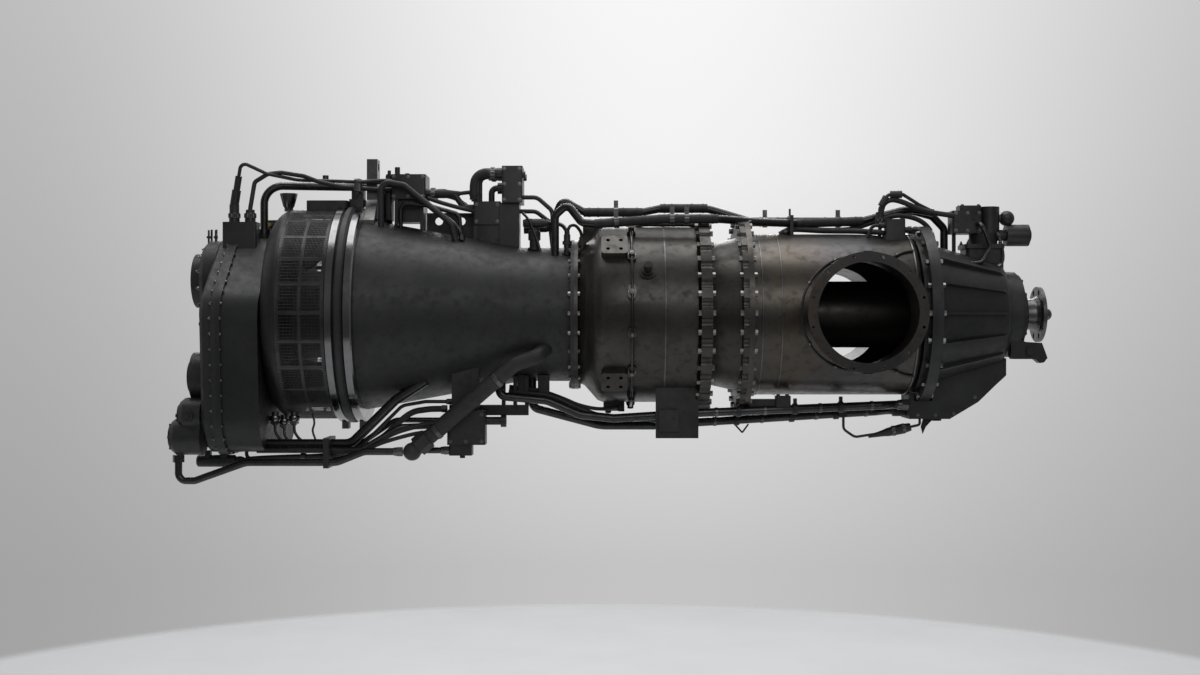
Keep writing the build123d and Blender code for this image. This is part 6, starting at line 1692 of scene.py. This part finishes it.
@dataclass
class LowerPlumbing:
    """Lines, a filter, brackets and boots along the bottom of the engine."""

    filter_place: Point = (-1909.0, -105.0, -328.0)
    strap_stations: tuple[float, ...] = (-1184.0, -1138.0)
    neck_bottom: float = -138.0

    def build(self) -> None:
        """Make every group, from the accessory gearbox to the propeller end."""
        self.bundle()
        self.neck_harness()
        self.front_end()

    def bundle(self) -> None:
        """The filter under the accessory gearbox and the lines that fan out of the tube bundle."""
        body = MeshSheet("line_filter")
        place = at(*self.filter_place, FORWARD)
        body.lathe(LINE_FILTER, place, 28)
        body.prism(hexagon(11.5), 90, 99, place)
        body.prism(rounded(9, 11, 3), 0, 26, at(-1848, -105, -330))
        body.prism(rounded(6, 11, 3), 0, 26, at(-1884, -105, -330))
        body.piece("engine", PUMP_METAL)
        lay("fan_lines", FIRE_SLEEVE, FAN_LINES)
        ends = MeshSheet("fan_line_nuts")
        for y, z, size in ((-126, -240.6, 8.0), (-100, -212, 9.2), (-128, -260, 6.6)):
            ends.prism(hexagon(size), 0, 12, at(-1364, y, z, FORWARD))
        ends.piece("engine", FLANGE_STEEL)
        clips = [along(*FAN_LINES[0].route[2:4], 0.5, (0, 0.3, 1))]
        Scatter("fan_line_clip", loop_clamp(6.2), FLANGE_STEEL).place(clips)

    def neck_harness(self) -> None:
        """The harness under the neck with its straps, and the drain valve under the gas generator case."""
        lay("lower_harness", HARNESS, LOWER_HARNESS)
        straps = MeshSheet("neck_straps")
        for station in self.strap_stations:
            straps.prism(rounded(13, 11, 2.5), 0, 52, at(station, -61, self.neck_bottom - 52))
            straps.prism(hexagon(4.2), 0, 4, at(station, -71.6, -152, NEAR))
        straps.prism(rounded(24, 16, 3), 0, 26, at(-979, 0, -221))
        straps.prism(rounded(7, 7, 2), 0, 12, at(-962, -16, -222))
        straps.lathe(DRAIN_VALVE, at(-992, 0, -219, DOWN), 16)
        straps.piece("engine", PUMP_METAL)

    def front_end(self) -> None:
        """The clamp block on the near oil pipe and the tapered boot at the sump's plug."""
        block = MeshSheet("oil_pipe_block")
        block.prism(rounded(17, 13, 3), 0, 26, at(-600, -76, -210))
        block.prism(rounded(29, 3, 1), 0, 17, at(-645, -78, -208))
        for x in (-610, -590):
            block.prism(hexagon(4.2), 0, 4, at(x, -76, -184.4))
        block.piece("engine", PUMP_METAL)
        boot = MeshSheet("sump_plug_boot")
        boot.lathe(SUMP_BOOT, at(-352, -30, -268, (52, 0, 12)), 22)
        boot.piece("engine", BLACK_SEAL)


@dataclass
class Studio:
    """The pale floor, the backdrop seen behind the engine, the lamps and the camera."""

    centre: Point = (-1.01085, 0.0, -0.053)
    camera_distance: float = 3.45
    lens_mm: float = 45.0
    film_mm: float = 36.0
    floor_drop: float = 1.04
    floor_radius: float = 2.46
    floor_sides: int = 128
    floor_roughness: float = 0.7
    fade_start: float = 0.95
    pale: Colour = (0.60, 0.60, 0.60)
    dull: Colour = (0.57, 0.57, 0.57)
    glow_middle: float = 0.043
    glow_width: float = 0.46
    # Each set of levels: from low, from high, to low, to high.
    side_levels: tuple[float, ...] = (-0.15, 0.22, 0.36, 0.50)
    glow_levels: tuple[float, ...] = (-0.15, 0.12, 0.19, 0.43)
    gloss_levels: tuple[float, ...] = (-0.45, 0.30, 0.22, 1.0)
    even_colour: tuple[float, ...] = (0.9, 0.92, 0.95, 1.0)
    even_strength: float = 0.62
    # Each lamp: its name, its place from the centre, its width and height, and its power.
    lamps: tuple[tuple[str, Point, Pair, float], ...] = (
        ("TopSoftbox", (0.0, 0.2, 2.6), (3.2, 1.8), 54.0),
        ("BackStrip", (0.0, 2.6, 1.4), (3.4, 0.5), 34.0),
        ("FrontFill", (0.6, -3.2, 1.5), (2.4, 1.4), 18.0),
    )

    def camera(self) -> None:
        """Set the camera level, at the engine's right side, as in the photograph."""
        data = bpy.data.cameras.new("Camera")
        data.lens = self.lens_mm
        data.sensor_width = self.film_mm
        camera = in_scene("Camera", data)
        camera.location = (self.centre[0], self.centre[1] - self.camera_distance, self.centre[2])
        camera.rotation_euler = (math.pi / 2, 0.0, 0.0)
        bpy.context.scene.camera = camera

    def lamp(self, name: str, place: Point, size: Pair, watts: float) -> None:
        """Hang one soft rectangular lamp that faces the engine.

        Args:
            name: The lamp's name.
            place: Where it hangs.
            size: Its width and height.
            watts: Its power.
        """
        data = bpy.data.lights.new(name, "AREA")
        data.shape = "RECTANGLE"
        data.size, data.size_y = size
        data.energy = watts
        lamp = in_scene(name, data)
        lamp.location = place
        lamp.rotation_euler = (Vector(self.centre) - Vector(place)).to_track_quat("-Z", "Y").to_euler()

    def world(self) -> None:
        """A pale backdrop, brightest high behind the engine, and an even light for everything else."""
        world = bpy.data.worlds.new("Backdrop")
        bpy.context.scene.world = world
        world.use_nodes = True
        sky = NodeTree(world.node_tree)
        parts = sky.add("ShaderNodeSeparateXYZ", {0: sky.out("ShaderNodeTexCoord")}).outputs
        rays = sky.add("ShaderNodeLightPath").outputs
        off_centre = sky.math("ABSOLUTE", sky.math("SUBTRACT", parts["X"], self.glow_middle))
        bell = sky.remap(off_centre, (0.0, self.glow_width, 1.0, 0.0), "SMOOTHSTEP")
        side = sky.remap(parts["Z"], self.side_levels)
        raised = sky.math("MULTIPLY", sky.remap(parts["Z"], self.glow_levels), bell)
        level = sky.math("ADD", side, raised)
        shown = sky.math("MAXIMUM", rays["Is Camera Ray"], rays["Is Transmission Ray"])
        shiny = sky.math("MAXIMUM", shown, rays["Is Glossy Ray"])
        facing = sky.remap(parts["Y"], self.gloss_levels, "SMOOTHSTEP")
        dimmed = sky.math("MULTIPLY", level, facing)
        chosen = sky.out("ShaderNodeMix", {0: shown, 2: dimmed, 3: level})
        seen = sky.out("ShaderNodeBackground", {"Color": chosen, "Strength": 1.0})
        even = sky.out("ShaderNodeBackground", {"Color": self.even_colour, "Strength": self.even_strength})
        mixed = sky.out("ShaderNodeMixShader", {0: shiny, 1: even, 2: seen})
        sky.add("ShaderNodeOutputWorld", {"Surface": mixed})

    def floor(self) -> None:
        """A pale round floor whose edge fades into the backdrop."""
        sheet = NodeSheet("PaleFloor")
        place = sheet.add("ShaderNodeTexCoord").outputs["Object"]
        grain = sheet.noise(place, 3.0, 2.0)
        radius = sheet.add("ShaderNodeVectorMath", {0: place}, operation="LENGTH").outputs["Value"]
        colour = sheet.ramp(grain, ((0.3, self.dull), (0.7, self.pale)))
        finish = {"Base Color": colour, "Roughness": self.floor_roughness}
        surface = sheet.add("ShaderNodeBsdfPrincipled", finish)
        clear = sheet.add("ShaderNodeBsdfTransparent")
        fade = (self.floor_radius * self.fade_start, self.floor_radius, 0.0, 1.0)
        edge = sheet.remap(radius, fade, "SMOOTHSTEP")
        mixed = sheet.add("ShaderNodeMixShader", {0: edge, 1: surface.outputs[0], 2: clear.outputs[0]})
        material = sheet.close(mixed.outputs[0])
        mesh = bpy.data.meshes.new("Floor")
        shape = bmesh.new()
        bmesh.ops.create_circle(shape, cap_ends=True, segments=self.floor_sides, radius=self.floor_radius)
        shape.to_mesh(mesh)
        shape.free()
        mesh.materials.append(material)
        floor = in_scene("Floor", mesh)
        floor.location = (self.centre[0], self.centre[1], self.centre[2] - self.floor_drop)

    def build(self) -> None:
        """Set up the whole studio."""
        self.camera()
        self.world()
        self.floor()
        x, y, z = self.centre
        for name, (aside, away, above), size, watts in self.lamps:
            self.lamp(name, (x + aside, y + away, z + above), size, watts)


def main() -> None:
    """Build the studio, dress the CAD parts and add the fine hardware, in order."""
    logging.basicConfig(level=logging.INFO, format="%(name)s: %(message)s")
    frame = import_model()
    bpy.context.scene.view_settings.view_transform = "Standard"
    Studio().build()
    log.info("dressed %d CAD nodes", CadDresser(frame).dress())
    for group in (
        InletScreen, AccessoryGearboxHardware, BoxHardware, TubeHardware, ConnectorHardware, ExhaustLeads,
        CaseDetails, TopPlumbing, LowerPlumbing,
    ):
        group().build()


if __name__ == "__main__":
    main()
